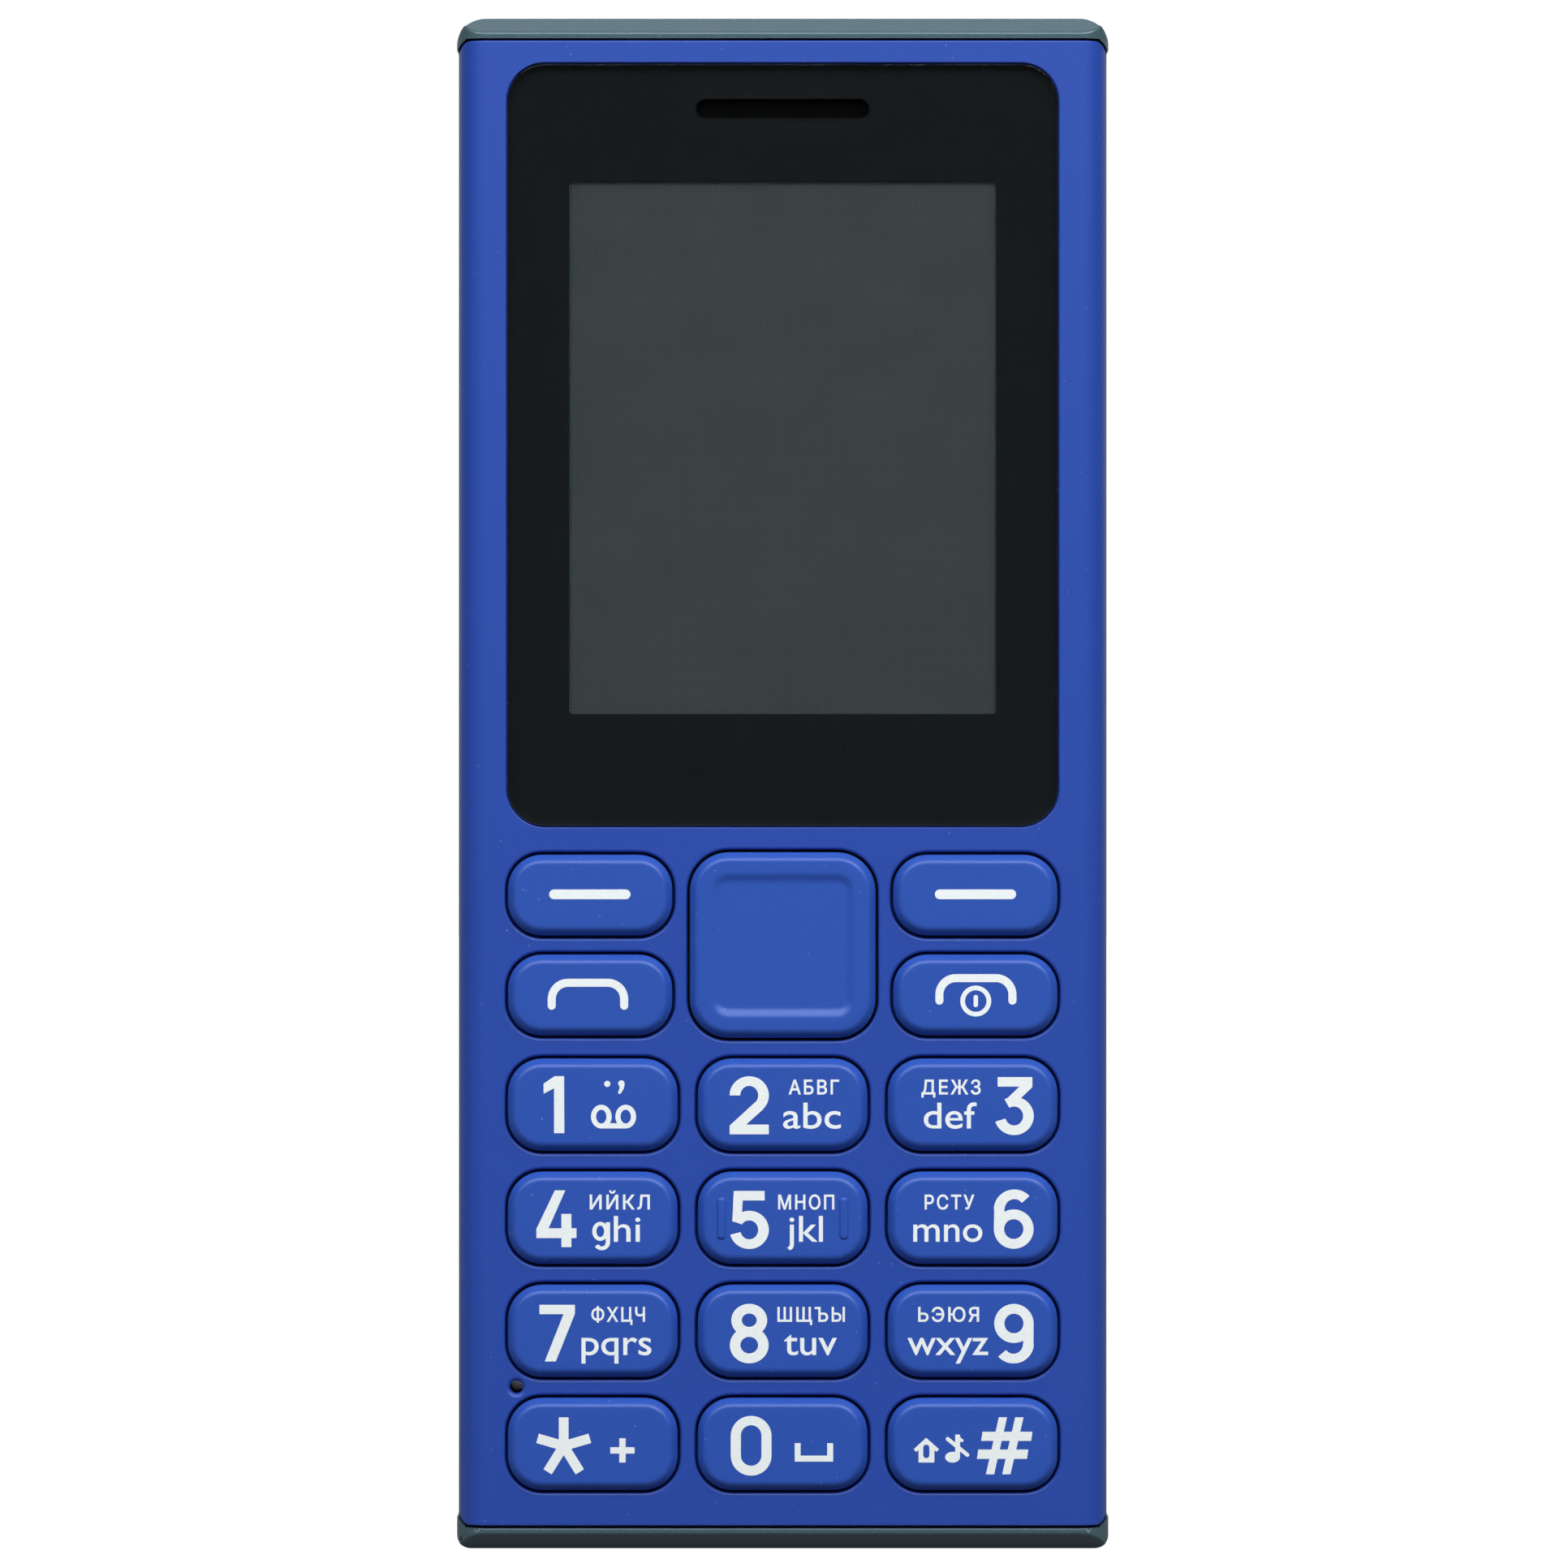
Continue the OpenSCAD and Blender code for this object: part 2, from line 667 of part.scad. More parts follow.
module keypad_mat() {
    window = nav_size + 2 * key_flange + 2 * part_gap;
    notch = mic_w / 2 + part_gap;
    color(silicone) stand() {
        slab(mat_d, nub_d) difference() {
            panel(lens_w + 2 * mat_edge, mat_y0, mat_y1);
            translate([0, nav_y]) square([window, window], center = true);
            for (p = screws) translate(p) circle(boss_r + board_fit);
            translate(mic_xy) square([2 * notch, 2 * notch], center = true);
        }
        for (p = concat(number_places, side_places)) translate(p) pin(nub_r, nub_d, nub_d + nub_h);
    }
}

module metal_domes() {
    crown = 0.4;
    color(steel) stand()
        for (p = concat(number_places, side_places, nav_domes)) translate(concat(p, [-board_d]))
            cylinder(h = dome_h, r1 = dome_r, r2 = dome_r * crown);
}

module main_board() {
    color("#1f6b45") stand() slab(board_d, board_back) difference() {
        panel(tray_w - 2 * board_fit, tray_y0 + board_fit, tray_y1 - board_fit);
        for (p = screws) translate(p) circle(boss_r + board_fit);
    }
}

// Open-bottomed box of thin sheet on the back of the board
module sheet_box(w, l, t, sheet) {
    difference() {
        slab(board_back, board_back + t) square([w, l], center = true);
        slab(board_back - cut, board_back + t - sheet)
            square([w - 2 * sheet, l - 2 * sheet], center = true);
    }
}

module shield_cans() {
    can_w = bay_w - 2 * shield_inset;
    contact_gap = 1;
    color(steel) stand() {
        translate([0, bay_y1 - contact_l - contact_gap - shield_l / 2])
            sheet_box(can_w, shield_l, shield_t, shield_sheet);
        translate([0, sounder_y]) sheet_box(can_w, shield_l, shield_t, shield_sheet);
    }
}

module sim_sockets() {
    color(steel) stand() for (s = [-1, 1]) translate([s * sim_x, sim_y])
        card_socket(sim_w, sim_l);
}

// Card socket: a base with the card slot under a sheet lid that has a thumb cut-out
module card_socket(w, l) {
    slot = socket_t * 0.6;
    side = 1;
    difference() {
        slab(board_back, board_back + socket_t) square([w, l], center = true);
        translate([0, side, 0]) slab(board_back + (socket_t - slot) / 2, board_back + (socket_t + slot) / 2)
            square([w - 2 * side, l], center = true);
        translate([0, l / 2, 0]) slab(board_back + socket_t / 2, board_back + socket_t + cut)
            circle(l / 4);
    }
}

module memory_card_socket() {
    color(steel) stand() translate([0, card_y]) card_socket(card_w, card_l);
}

module battery_contacts() {
    finger_w = 1.2;
    finger_pitch = contact_w / 4;
    finger_low = 0.9;
    finger_high = 2.8;
    block_h = 3.2;
    color(brass) stand() {
        slab(board_back, battery_d + block_h)
            panel(contact_w, bay_y1 - contact_l, bay_y1 - pocket_fit);
        for (i = [-1 : 1]) translate([i * finger_pitch, 0])
            slab(battery_d + finger_low, battery_d + finger_high)
                panel(finger_w, battery_y1 + seat_gap, bay_y1 - contact_l);
    }
}

module microphone() {
    color(steel) stand() slab(board_d - mic_t, board_d) translate(mic_xy)
        square([mic_w, mic_w], center = true);
}

module microphone_boot() {
    color("#2b2b2b") stand() translate(mic_xy) difference() {
        pin(mic_r + boot_wall, front_wall, board_d - mic_t);
        pin(mic_r, front_wall - cut, board_d);
    }
}

module headset_jack() {
    side = 2 * (jack_r + jack_wall);
    color("#222428") stand() difference() {
        slab(board_back, board_back + side)
            translate([jack_x, 0]) panel(side, blue_y1 - jack_l, blue_y1);
        bar(jack_x, jack_axis_d, jack_r, blue_y1 - jack_l + jack_wall, blue_y1 + cut);
    }
}

module charging_socket() {
    color(steel) stand() difference() {
        slab(board_back, board_back + usb_h)
            translate([usb_x, 0]) panel(usb_w, blue_y1 - usb_l, blue_y1);
        slab(board_back + usb_sheet, board_back + usb_h - usb_sheet) translate([usb_x, 0])
            panel(usb_w - 2 * usb_sheet, blue_y1 - usb_l + usb_sheet, blue_y1 + cut);
    }
}

module charging_tongue() {
    tongue_t = 0.6;
    tongue_side = 0.6;
    mouth = 0.8;
    color(black) stand() slab(usb_axis_d - tongue_t / 2, usb_axis_d + tongue_t / 2)
        translate([usb_x, 0])
            panel(usb_w - 2 * (usb_sheet + tongue_side), blue_y1 - usb_l + usb_sheet, blue_y1 - mouth);
}

module torch_light() {
    led_l = 1.4;
    led_w = 1.9;
    color("#e8d98a") stand() slab(board_back, torch_axis_d + torch_r / 2)
        translate([torch_x, 0])
            panel(led_w, tray_y1 - board_fit - led_l, tray_y1 - board_fit);
}

module torch_lens() {
    color("#dfe6e8") stand() bar(torch_x, torch_axis_d, torch_r, tray_y1, blue_y1);
}

module loudspeaker() {
    color("#2a2c30") stand() slab(speaker_d, bay_back - tape_t) translate([speaker_x, sounder_y])
        plate(speaker_w, speaker_l, speaker_r);
}

module loudspeaker_mesh() {
    color(black) stand() slab(bay_back - tape_t, bay_back) translate([speaker_x, sounder_y])
        plate(speaker_w, speaker_l, speaker_r);
}

module motor_base() {
    color(steel) stand() translate([motor_x, sounder_y, 0]) {
        pin(motor_r, motor_d, motor_d + motor_sheet);
        pin(shaft_r, motor_d, bay_back - motor_sheet);
    }
}

module motor_can() {
    color(steel) stand() translate([motor_x, sounder_y, 0]) difference() {
        pin(motor_r, motor_d + motor_sheet, bay_back);
        pin(motor_r - motor_sheet, motor_d, bay_back - motor_sheet);
    }
}

module motor_rotor() {
    hub_wall = 0.6;
    hub_r = shaft_r + hub_wall;
    rotor_r = motor_r - motor_sheet - rotor_fit;
    color(brass) stand() translate([motor_x, sounder_y, 0]) difference() {
        slab(motor_d + motor_sheet + rotor_fit, bay_back - motor_sheet - rotor_fit) union() {
            circle(hub_r);
            intersection() {
                circle(rotor_r);
                translate([-rotor_r, -rotor_r]) square([2 * rotor_r, rotor_r]);
            }
        }
        pin(shaft_r + shaft_fit, motor_d, bay_back);
    }
}

module antenna() {
    feed_w = 2;
    slit = 1.2;
    color(brass) stand() slab(bay_back - antenna_t, bay_back) difference() {
        panel(antenna_w, tray_y0, tray_y0 + antenna_h);
        translate([feed_w, 0]) panel(antenna_w - 4 * feed_w, tray_y0 + feed_w, tray_y0 + feed_w + slit);
    }
}

// Mid frame before its pockets are cut: a shell with the screw posts
module frame_body() {
    post_wall = 0.8;
    difference() {
        run(blue_y0, blue_y1) section(frame_w, seam_d, bay_back, 0, back_r - cover_wall);
        slab(seam_d - cut, floor_d) panel(frame_w - 2 * rim_wall, tray_y0, tray_y1);
        slab(floor_back, bay_back + cut) panel(bay_w, bay_y0, bay_y1);
        for (s = [-1, 1]) translate([s * (bay_w / 2 + frame_w / 2 + rail_wall - rim_wall) / 2, 0])
            slab(floor_back, bay_back + cut)
                panel(rail_w - rail_wall - rim_wall, bay_y0, bay_y1);
    }
    for (p = screws) translate(p) pin(head_r + post_wall, floor_d, seat_d);
}

module mid_frame() {
    jack_side = 2 * (jack_r + jack_wall + pocket_fit);
    torch_room = 3;
    color("#30343a") stand() difference() {
        frame_body();
        for (p = screws) translate(p) {
            pin(screw_r + shaft_fit, floor_d - cut, seat_d + cut);
            pin(head_r + pocket_fit, seat_d, bay_back + cut);
        }
        for (s = [-1, 1]) translate([s * sim_x, sim_y]) floor_window(sim_w, sim_l);
        translate([0, card_y]) floor_window(card_w, card_l);
        slab(floor_d - cut, floor_back + cut)
            panel(contact_w + 2 * pocket_fit, bay_y1 - contact_l - pocket_fit, bay_y1);
        slab(floor_d - cut, board_back + 2 * (jack_r + jack_wall) + pocket_fit)
            translate([jack_x, 0]) panel(jack_side, blue_y1 - jack_l - pocket_fit, blue_y1 + cut);
        slab(seam_d - cut, board_back + usb_h + pocket_fit)
            translate([usb_x, 0])
                panel(usb_w + 2 * pocket_fit, blue_y1 - usb_l - pocket_fit, blue_y1 + cut);
        slab(seam_d - cut, seam_d + 2 * (jack_r + jack_wall) + pocket_fit)
            translate([jack_x, 0]) panel(jack_side, tray_y1 - cut, blue_y1 + cut);
        slab(floor_d - cut, torch_axis_d + torch_r + pocket_fit)
            translate([torch_x, 0]) panel(2 * (torch_r + pocket_fit), tray_y1 - torch_room, tray_y1);
        bar(torch_x, torch_axis_d, torch_r + shaft_fit, tray_y1 - cut, blue_y1 + cut);
        slab(speaker_d, bay_back + cut) translate([speaker_x, sounder_y])
            plate(speaker_w + 2 * pocket_fit, speaker_l + 2 * pocket_fit, speaker_r + pocket_fit);
        translate([motor_x, sounder_y]) pin(motor_r + pocket_fit, motor_d, bay_back + cut);
        slab(bay_back - antenna_t, bay_back + cut) panel(
            antenna_w + 2 * pocket_fit, tray_y0 - pocket_fit, tray_y0 + antenna_h + pocket_fit);
        cover_tabs(tab_reach + cover_fit, tab_l + 2 * cover_fit, seam_d - cut, bay_back + cut);
    }
}

// Window in the floor of the mid frame over a card socket
module floor_window(w, l) {
    slab(floor_d - cut, floor_back + cut)
        square([w + 2 * pocket_fit, l + 2 * pocket_fit], center = true);
}

// Locating tabs at both sides of the cover, or the grooves that they slide in
module cover_tabs(reach, length, d0, d1) {
    inner_w = body_w - 2 * cover_wall;
    tab_places = [bay_y0 + tab_low, (bay_y0 + bay_y1) / 2, bay_y1 + tab_high];
    for (s = [-1, 1], y = tab_places) slab(d0, d1)
        translate([s * (inner_w / 2 - (reach - cover_fit / 2) / 2), y])
            square([reach + cover_fit / 2, length], center = true);
}

module housing_screws() {
    drive_r = 0.45;
    color(steel) stand() for (p = screws) translate(p) difference() {
        union() {
            pin(screw_r, floor_d - screw_grip, seat_d);
            pin(head_r, seat_d, seat_d + head_h);
        }
        translate([0, 0, -seat_d - head_h - cut]) cylinder(h = cut + head_h / 2, r = drive_r, $fn = 6);
    }
}

module battery() {
    color("#3d4a55") stand() slab(battery_d, bay_back)
        panel(bay_w - 2 * battery_fit, bay_y0 + battery_fit, battery_y1);
}

// Side outline of the cover: bevelled at the front of both ends, rounded at the back
module cover_profile() {
    intersection() {
        translate([body_h / 2, foot_r - back_d / 2]) plate(body_h, back_d + 2 * foot_r, foot_r);
        polygon([
            [0, -back_d], [0, -land_drop - bevel_depth], [bevel_len, -land_drop],
            [body_h - bevel_len, -land_drop], [body_h, -land_drop - bevel_depth], [body_h, -back_d]
        ]);
    }
}

// Outside of the grey shell, with its end caps
module shell_form() {
    intersection() {
        slab(0, back_d) {
            translate([0, body_h / 2]) plate(body_w, body_h, corner_r);
            translate([0, body_h / 4]) plate(body_w, body_h / 2, low_corner_r);
        }
        across(body_w) cover_profile();
        run(0, body_h) section(body_w, land_drop, back_d, edge_r, back_r);
    }
}

module rear_cover() {
    inner_w = body_w - 2 * cover_wall;
    color(grey) stand() {
        difference() {
            shell_form();
            slab(-cut, back_d + cut) panel(body_w + 2 * cut, cap_y, body_h + cut);
            slab(-cut, seam_d + seam_gap) panel(body_w + 2 * cut, cap_wall, body_h);
            run(cap_wall, body_h) section(inner_w, seam_d - cut, wall_d, 0, back_r - cover_wall);
            for (i = [0 : slot_count - 1])
                translate([speaker_x, sounder_y + (i - (slot_count - 1) / 2) * slot_pitch])
                    slab(wall_d - cut, back_d + cut) plate(slot_l, slot_w, slot_w * round_end);
            translate([0, notch_depth - notch_r, -back_d]) sphere(notch_r);
        }
        cover_tabs(tab_reach, tab_l, seam_d + seam_gap, seam_d + seam_gap + tab_depth);
    }
}

module cover_top_cap() {
    port_y = cap_y - cut;
    color(grey) stand() difference() {
        shell_form();
        slab(-cut, back_d + cut) panel(body_w + 2 * cut, -cut, cap_y);
        bar(jack_x, jack_axis_d, jack_r, port_y, body_h + cut);
        bar(torch_x, torch_axis_d, torch_r + shaft_fit, port_y, body_h + cut);
        slab(usb_axis_d - usb_h / 2 - port_clear / 2, usb_axis_d + usb_h / 2 + port_clear / 2)
            translate([usb_x, 0]) panel(usb_w + port_clear, port_y, body_h + cut);
    }
}

// Corners of the end caps that reach round the corners of the blue front
module cover_corners() {
    color(grey) stand() difference() {
        intersection() {
            shell_form();
            slab(-cut, seam_d + seam_gap) for (s = [-1, 1]) translate([s * body_w / 2, 0]) {
                panel(2 * horn_w, cap_wall, blue_y0 + horn_l);
                panel(2 * horn_w, blue_y1 - horn_l, cap_y);
            }
        }
        slab(-2 * cut, seam_d + 2 * cut) blue_outline(seam_gap);
    }
}

module nav_key() {
    dish_w = nav_size - 2 * nav_rim;
    dish_r = nav_r - nav_rim + dish_slope;
    tab_span = nav_size + 2 * key_flange;
    color(key_blue) stand() translate([0, nav_y, 0]) {
        difference() {
            key_cap(nav_size, nav_size, nav_r, nav_tab_d + nav_tab_t);
            translate([0, 0, key_rise]) mirror([0, 0, 1]) translate([0, 0, -dish_depth])
                frustum(dish_w + 2 * dish_slope, dish_w + 2 * dish_slope, dish_r + dish_slope,
                    2 * dish_slope, 2 * dish_depth);
        }
        slab(nav_tab_d, nav_tab_d + nav_tab_t) {
            square([tab_span, nav_tab], center = true);
            square([nav_tab, tab_span], center = true);
        }
    }
}

module nav_pad() {
    color(silicone) stand() slab(pad_d, pad_d + pad_t) translate([0, nav_y])
        plate(pad_w, pad_w, nav_r);
}

module nav_plunger() {
    color(silicone) stand() translate([0, nav_y]) pin(plunger_r, plunger_d, plunger_back);
}

module number_key(i) {
    color(key_blue) stand() translate(number_xy(i)) {
        flanged_key(key_w, key_h);
        if (number_keys[i] == "key_5") for (s = [-1, 1]) translate([s * rib_span / 2, 0])
            slab(-proud, -key_rise) plate(rib_w, rib_l, rib_w * round_end);
    }
}

module side_key(i) {
    color(key_blue) stand() translate(side_xy(i)) flanged_key(fn_w, fn_h);
}

front_housing();
display_lens();
lens_tape();
earpiece_mesh();
earpiece_speaker();
display_gasket();
display_panel();
display_backlight();
display_flex();
keypad_mat();
metal_domes();
main_board();
shield_cans();
microphone();
microphone_boot();
sim_sockets();
memory_card_socket();
battery_contacts();
headset_jack();
charging_socket();
charging_tongue();
torch_light();
torch_lens();
loudspeaker();
loudspeaker_mesh();
motor_base();
motor_can();
motor_rotor();
antenna();
mid_frame();
housing_screws();
battery();
rear_cover();
cover_top_cap();
cover_corners();
nav_key();
nav_pad();
nav_plunger();
for (i = [0 : len(number_keys) - 1]) number_key(i);
for (i = [0 : len(side_keys) - 1]) side_key(i);
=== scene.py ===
"""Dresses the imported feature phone: painted shells, printed keys, clear lens and dark display."""

import json
import logging
import math
from collections.abc import Callable, Sequence
from dataclasses import dataclass, field, replace
from enum import Enum, auto

import bmesh
import bpy
import numpy as np
from bpy.types import Material, Node, NodeSocket, NodeTree, Object
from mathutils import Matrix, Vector
from mathutils.geometry import delaunay_2d_cdt


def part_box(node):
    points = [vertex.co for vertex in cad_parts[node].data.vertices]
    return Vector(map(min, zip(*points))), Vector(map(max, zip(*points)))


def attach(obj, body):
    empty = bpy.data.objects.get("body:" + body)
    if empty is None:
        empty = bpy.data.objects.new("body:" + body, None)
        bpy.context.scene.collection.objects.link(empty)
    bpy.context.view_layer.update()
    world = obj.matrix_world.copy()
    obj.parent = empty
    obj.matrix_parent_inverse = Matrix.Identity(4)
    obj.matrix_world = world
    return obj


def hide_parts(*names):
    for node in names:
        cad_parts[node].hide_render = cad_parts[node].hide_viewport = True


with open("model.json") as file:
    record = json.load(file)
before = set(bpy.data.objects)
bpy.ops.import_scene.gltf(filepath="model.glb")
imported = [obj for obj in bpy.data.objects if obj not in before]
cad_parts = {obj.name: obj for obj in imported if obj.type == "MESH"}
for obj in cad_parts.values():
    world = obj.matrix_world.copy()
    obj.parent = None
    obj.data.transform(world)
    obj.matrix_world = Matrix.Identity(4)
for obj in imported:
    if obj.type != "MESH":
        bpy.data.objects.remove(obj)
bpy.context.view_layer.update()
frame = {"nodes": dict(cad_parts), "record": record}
log = logging.getLogger("phone")

MM = 0.001
SMOOTH_ANGLE = math.radians(35)
# Points of one outline that lie nearer than this are one point
WELD = 1e-6
ROUND_CAP = 13
SQUARE_CAP = 2
LEAST_CORNER = 0.02
WHITE = (1.0, 1.0, 1.0, 1.0)

Pair = tuple[float, float]
Triple = tuple[float, float, float]
Flat = tuple[np.ndarray, np.ndarray]
Built = tuple[np.ndarray, list[list[int]]]


# Placing


@dataclass(frozen=True)
class FrontPlane:
    """The phone's face: x to the right, z up and height out of the face, in millimetres."""

    y: float

    def place(self, points: np.ndarray) -> np.ndarray:
        """Turns x, z and height in millimetres into the frame's metres: y is the plane's less the height."""
        x, z, height = np.moveaxis(np.asarray(points, float) * MM, -1, 0)
        return np.stack([x, self.y - height, z], axis=-1)


FACE = FrontPlane(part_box("front_housing")[0].y)


def middle(node: str) -> np.ndarray:
    """Gives the middle of a CAD node seen from the front, as x and z in millimetres."""
    low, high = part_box(node)
    return np.array([low.x + high.x, low.z + high.z]) / (2 * MM)


# Outlines and surfaces


def round_rect(width: float, height: float, radius: float, steps: int = 10) -> np.ndarray:
    """Outlines a rectangle with round corners: quarter circles about four corner centres.

    Args:
        width: size along x.
        height: size along z.
        radius: corner radius.
        steps: segments of each quarter circle.

    Returns:
        Points in order against the clock, as seen from the front.
    """
    angle = np.arange(4)[:, None] * np.pi / 2 + np.linspace(0, np.pi / 2, steps + 1)
    signs = np.array([[1, 1], [-1, 1], [-1, -1], [1, -1]])
    centres = signs * [width / 2 - radius, height / 2 - radius]
    arcs = radius * np.stack([np.cos(angle), np.sin(angle)], axis=-1)
    return (centres[:, None, :] + arcs).reshape(-1, 2)


def ellipse(x: float, z: float, rx: float, rz: float, count: int = 48) -> np.ndarray:
    """Outlines an ellipse about x and z: its half axes times the cosine and sine of an even turn."""
    turn = np.linspace(0, 2 * np.pi, count, endpoint=False)
    return np.stack([x + rx * np.cos(turn), z + rz * np.sin(turn)], axis=-1)


def arc_band(centre: Pair, radius: float, pen: Pair, start: float, end: float, count: int = 40) -> np.ndarray:
    """Outlines an arc drawn with an oval pen: the arc moved out and back by the pen's half width.

    Args:
        centre: centre of the arc.
        radius: radius of its middle line.
        pen: pen width across an upright stroke and across a level one.
        start: first angle in degrees.
        end: last angle in degrees.
        count: points along each side.

    Returns:
        Points round the band.
    """
    turn = np.radians(np.linspace(start, end, count))
    ray = np.stack([np.cos(turn), np.sin(turn)], axis=-1)
    half = np.hypot(pen[0] * ray[:, :1], pen[1] * ray[:, 1:]) / 2
    sides = [(radius + half) * ray, ((radius - half) * ray)[::-1]]
    return np.concatenate(sides) + centre


def strokes(starts: np.ndarray, ends: np.ndarray, width: float, cap_points: int = ROUND_CAP) -> np.ndarray:
    """Outlines straight pen strokes: a half circle of the pen about each end.

    Args:
        starts: first points of the middle lines, one a row.
        ends: last points of the middle lines.
        width: pen width.
        cap_points: points of each half circle; two cut the end square.

    Returns:
        Array of strokes by points by two.
    """
    starts, ends = np.asarray(starts, float), np.asarray(ends, float)
    run = ends - starts
    along = np.arctan2(run[:, 1], run[:, 0])[:, None]
    turn = np.linspace(-np.pi / 2, np.pi / 2, cap_points)
    angle = np.concatenate([along + turn, along + np.pi + turn], axis=1)
    centres = np.repeat(np.stack([ends, starts], axis=1), cap_points, axis=1)
    return centres + width / 2 * np.stack([np.cos(angle), np.sin(angle)], axis=-1)


def stroke(start: Pair, end: Pair, width: float, rounded: bool = True) -> np.ndarray:
    """Outlines one pen stroke, with round ends or ends cut square at the points."""
    return strokes(np.array([start]), np.array([end]), width, ROUND_CAP if rounded else SQUARE_CAP)[0]


def fuse(ink: Sequence[np.ndarray], cuts: Sequence[np.ndarray] = ()) -> Flat:
    """Joins outlines into one flat shape: the Delaunay triangles that lie in ink and in no cut.

    Args:
        ink: outlines that are filled.
        cuts: outlines that are left open.

    Returns:
        Points, and triangles as rows of three point numbers.
    """
    outlines = [np.asarray(o, float) for o in (*ink, *cuts)]
    following = [np.roll(o, -1, axis=0) for o in outlines]
    areas = [np.sum(o[:, 0] * n[:, 1] - n[:, 0] * o[:, 1]) for o, n in zip(outlines, following)]
    turned = [o if area > 0 else o[::-1] for o, area in zip(outlines, areas)]
    ends = np.cumsum([len(o) for o in turned])
    faces = [list(range(end - len(o), end)) for o, end in zip(turned, ends)]
    corners = [Vector(p) for p in np.concatenate(turned)]
    points, _, triangles, _, _, sources = delaunay_2d_cdt(corners, [], faces, 0, WELD)
    kept = [t for t, s in zip(triangles, sources) if s and max(s) < len(ink)]
    return np.array([tuple(p) for p in points]), np.array(kept)


def fill(contours: Sequence[np.ndarray]) -> Flat:
    """Fills closed contours by their winding: the Delaunay triangles whose middles they go round.

    Args:
        contours: closed lines, holes in the other sense than outsides.

    Returns:
        Points, and triangles as rows of three point numbers.
    """
    starts = np.concatenate(contours)
    ends = np.concatenate([np.roll(c, -1, axis=0) for c in contours])
    numbers = np.split(np.arange(len(starts)), np.cumsum([len(c) for c in contours])[:-1])
    edges = np.concatenate([np.stack([n, np.roll(n, -1)], axis=1) for n in numbers])
    found = delaunay_2d_cdt([Vector(p) for p in starts], edges.tolist(), [], 0, WELD)
    points, triangles = np.array([tuple(p) for p in found[0]]), np.array(found[2])
    middles = points[triangles].mean(axis=1)[:, None]
    run, reach = ends - starts, middles - starts
    side = run[:, 0] * reach[..., 1] - run[:, 1] * reach[..., 0]
    rising = (starts[:, 1] <= middles[..., 1]) & (ends[:, 1] > middles[..., 1]) & (side > 0)
    falling = (starts[:, 1] > middles[..., 1]) & (ends[:, 1] <= middles[..., 1]) & (side < 0)
    return points, triangles[rising.sum(axis=1) != falling.sum(axis=1)]


def rim_edges(triangles: np.ndarray) -> np.ndarray:
    """Finds the edges of a flat shape's rim: those that only one triangle uses.

    Args:
        triangles: rows of three point numbers.

    Returns:
        Rows of two point numbers, with the shape on the left.
    """
    edges = triangles[:, [[0, 1], [1, 2], [2, 0]]].reshape(-1, 2)
    _, first, uses = np.unique(np.sort(edges, axis=1), axis=0, return_index=True, return_counts=True)
    return edges[first[uses == 1]]


def bolder(shape: Flat, amount: float) -> Flat:
    """Moves a flat shape's rim outwards: each corner goes along the sum of its two edges' outward
    normals, so far that both edges move by the amount.

    Args:
        shape: points and triangles of the flat shape.
        amount: how far the rim moves.

    Returns:
        The moved points and the same triangles.
    """
    points, triangles = shape
    rim = rim_edges(triangles)
    run = points[rim[:, 1]] - points[rim[:, 0]]
    outward = np.stack([run[:, 1], -run[:, 0]], axis=-1) / np.linalg.norm(run, axis=1, keepdims=True)
    total = np.zeros_like(points)
    np.add.at(total, rim.ravel(), np.repeat(outward, 2, axis=0))
    reach = np.maximum((total**2).sum(axis=1, keepdims=True), 1.0)
    return points + total * 2 * amount / reach, triangles


def slab(shape: Flat, low: float, high: float) -> Built:
    """Thickens a flat shape: its triangles at two heights, and a wall on each edge used once.

    Args:
        shape: points and triangles of the flat shape.
        low: height of its back.
        high: height of its front.

    Returns:
        Points as x, z and height, and faces.
    """
    points, triangles = shape
    count = len(points)
    rim = rim_edges(triangles)
    walls = np.concatenate([rim, rim[:, ::-1] + count], axis=1)
    levels = [np.column_stack([points, np.full(count, h)]) for h in (low, high)]
    faces = [*triangles[:, ::-1].tolist(), *(triangles + count).tolist(), *walls.tolist()]
    return np.concatenate(levels), faces


def loft(loops: np.ndarray, ring: bool = False) -> Built:
    """Skins a grid of loops, one row behind the next, with its two ends capped or joined.

    Args:
        loops: array of loops by points by three, from the back loop to the front one.
        ring: whether the last loop joins the first one, in place of two caps.

    Returns:
        Points, and faces.
    """
    rows, count = loops.shape[:2]
    grid = np.arange(rows * count).reshape(rows, count)
    lower = grid if ring else grid[:-1]
    upper = np.roll(grid, -1, axis=0) if ring else grid[1:]
    quads = np.stack([lower, np.roll(lower, -1, 1), np.roll(upper, -1, 1), upper], axis=-1).reshape(-1, 4)
    caps = [] if ring else [grid[0, ::-1].tolist(), grid[-1].tolist()]
    return loops.reshape(-1, 3), quads.tolist() + caps


def carry(
    profile: Sequence[Pair], size: Pair, corner: float, place: np.ndarray, least_corner: float = LEAST_CORNER
) -> np.ndarray:
    """Carries a profile round a rounded rectangle: each step of it is the rectangle, moved in by the
    step's inset and lifted to its height.

    Args:
        profile: insets and heights, from the back to the front.
        size: width and height of the rectangle.
        corner: its corner radius, which each inset makes smaller.
        place: its middle, as x and z.
        least_corner: smallest corner radius.

    Returns:
        Array of loops by points by three, in millimetres.
    """
    loops = []
    for inset, height in profile:
        line = round_rect(size[0] - 2 * inset, size[1] - 2 * inset, max(corner - inset, least_corner)) + place
        loops.append(np.column_stack([line, np.full(len(line), height)]))
    return np.stack(loops)


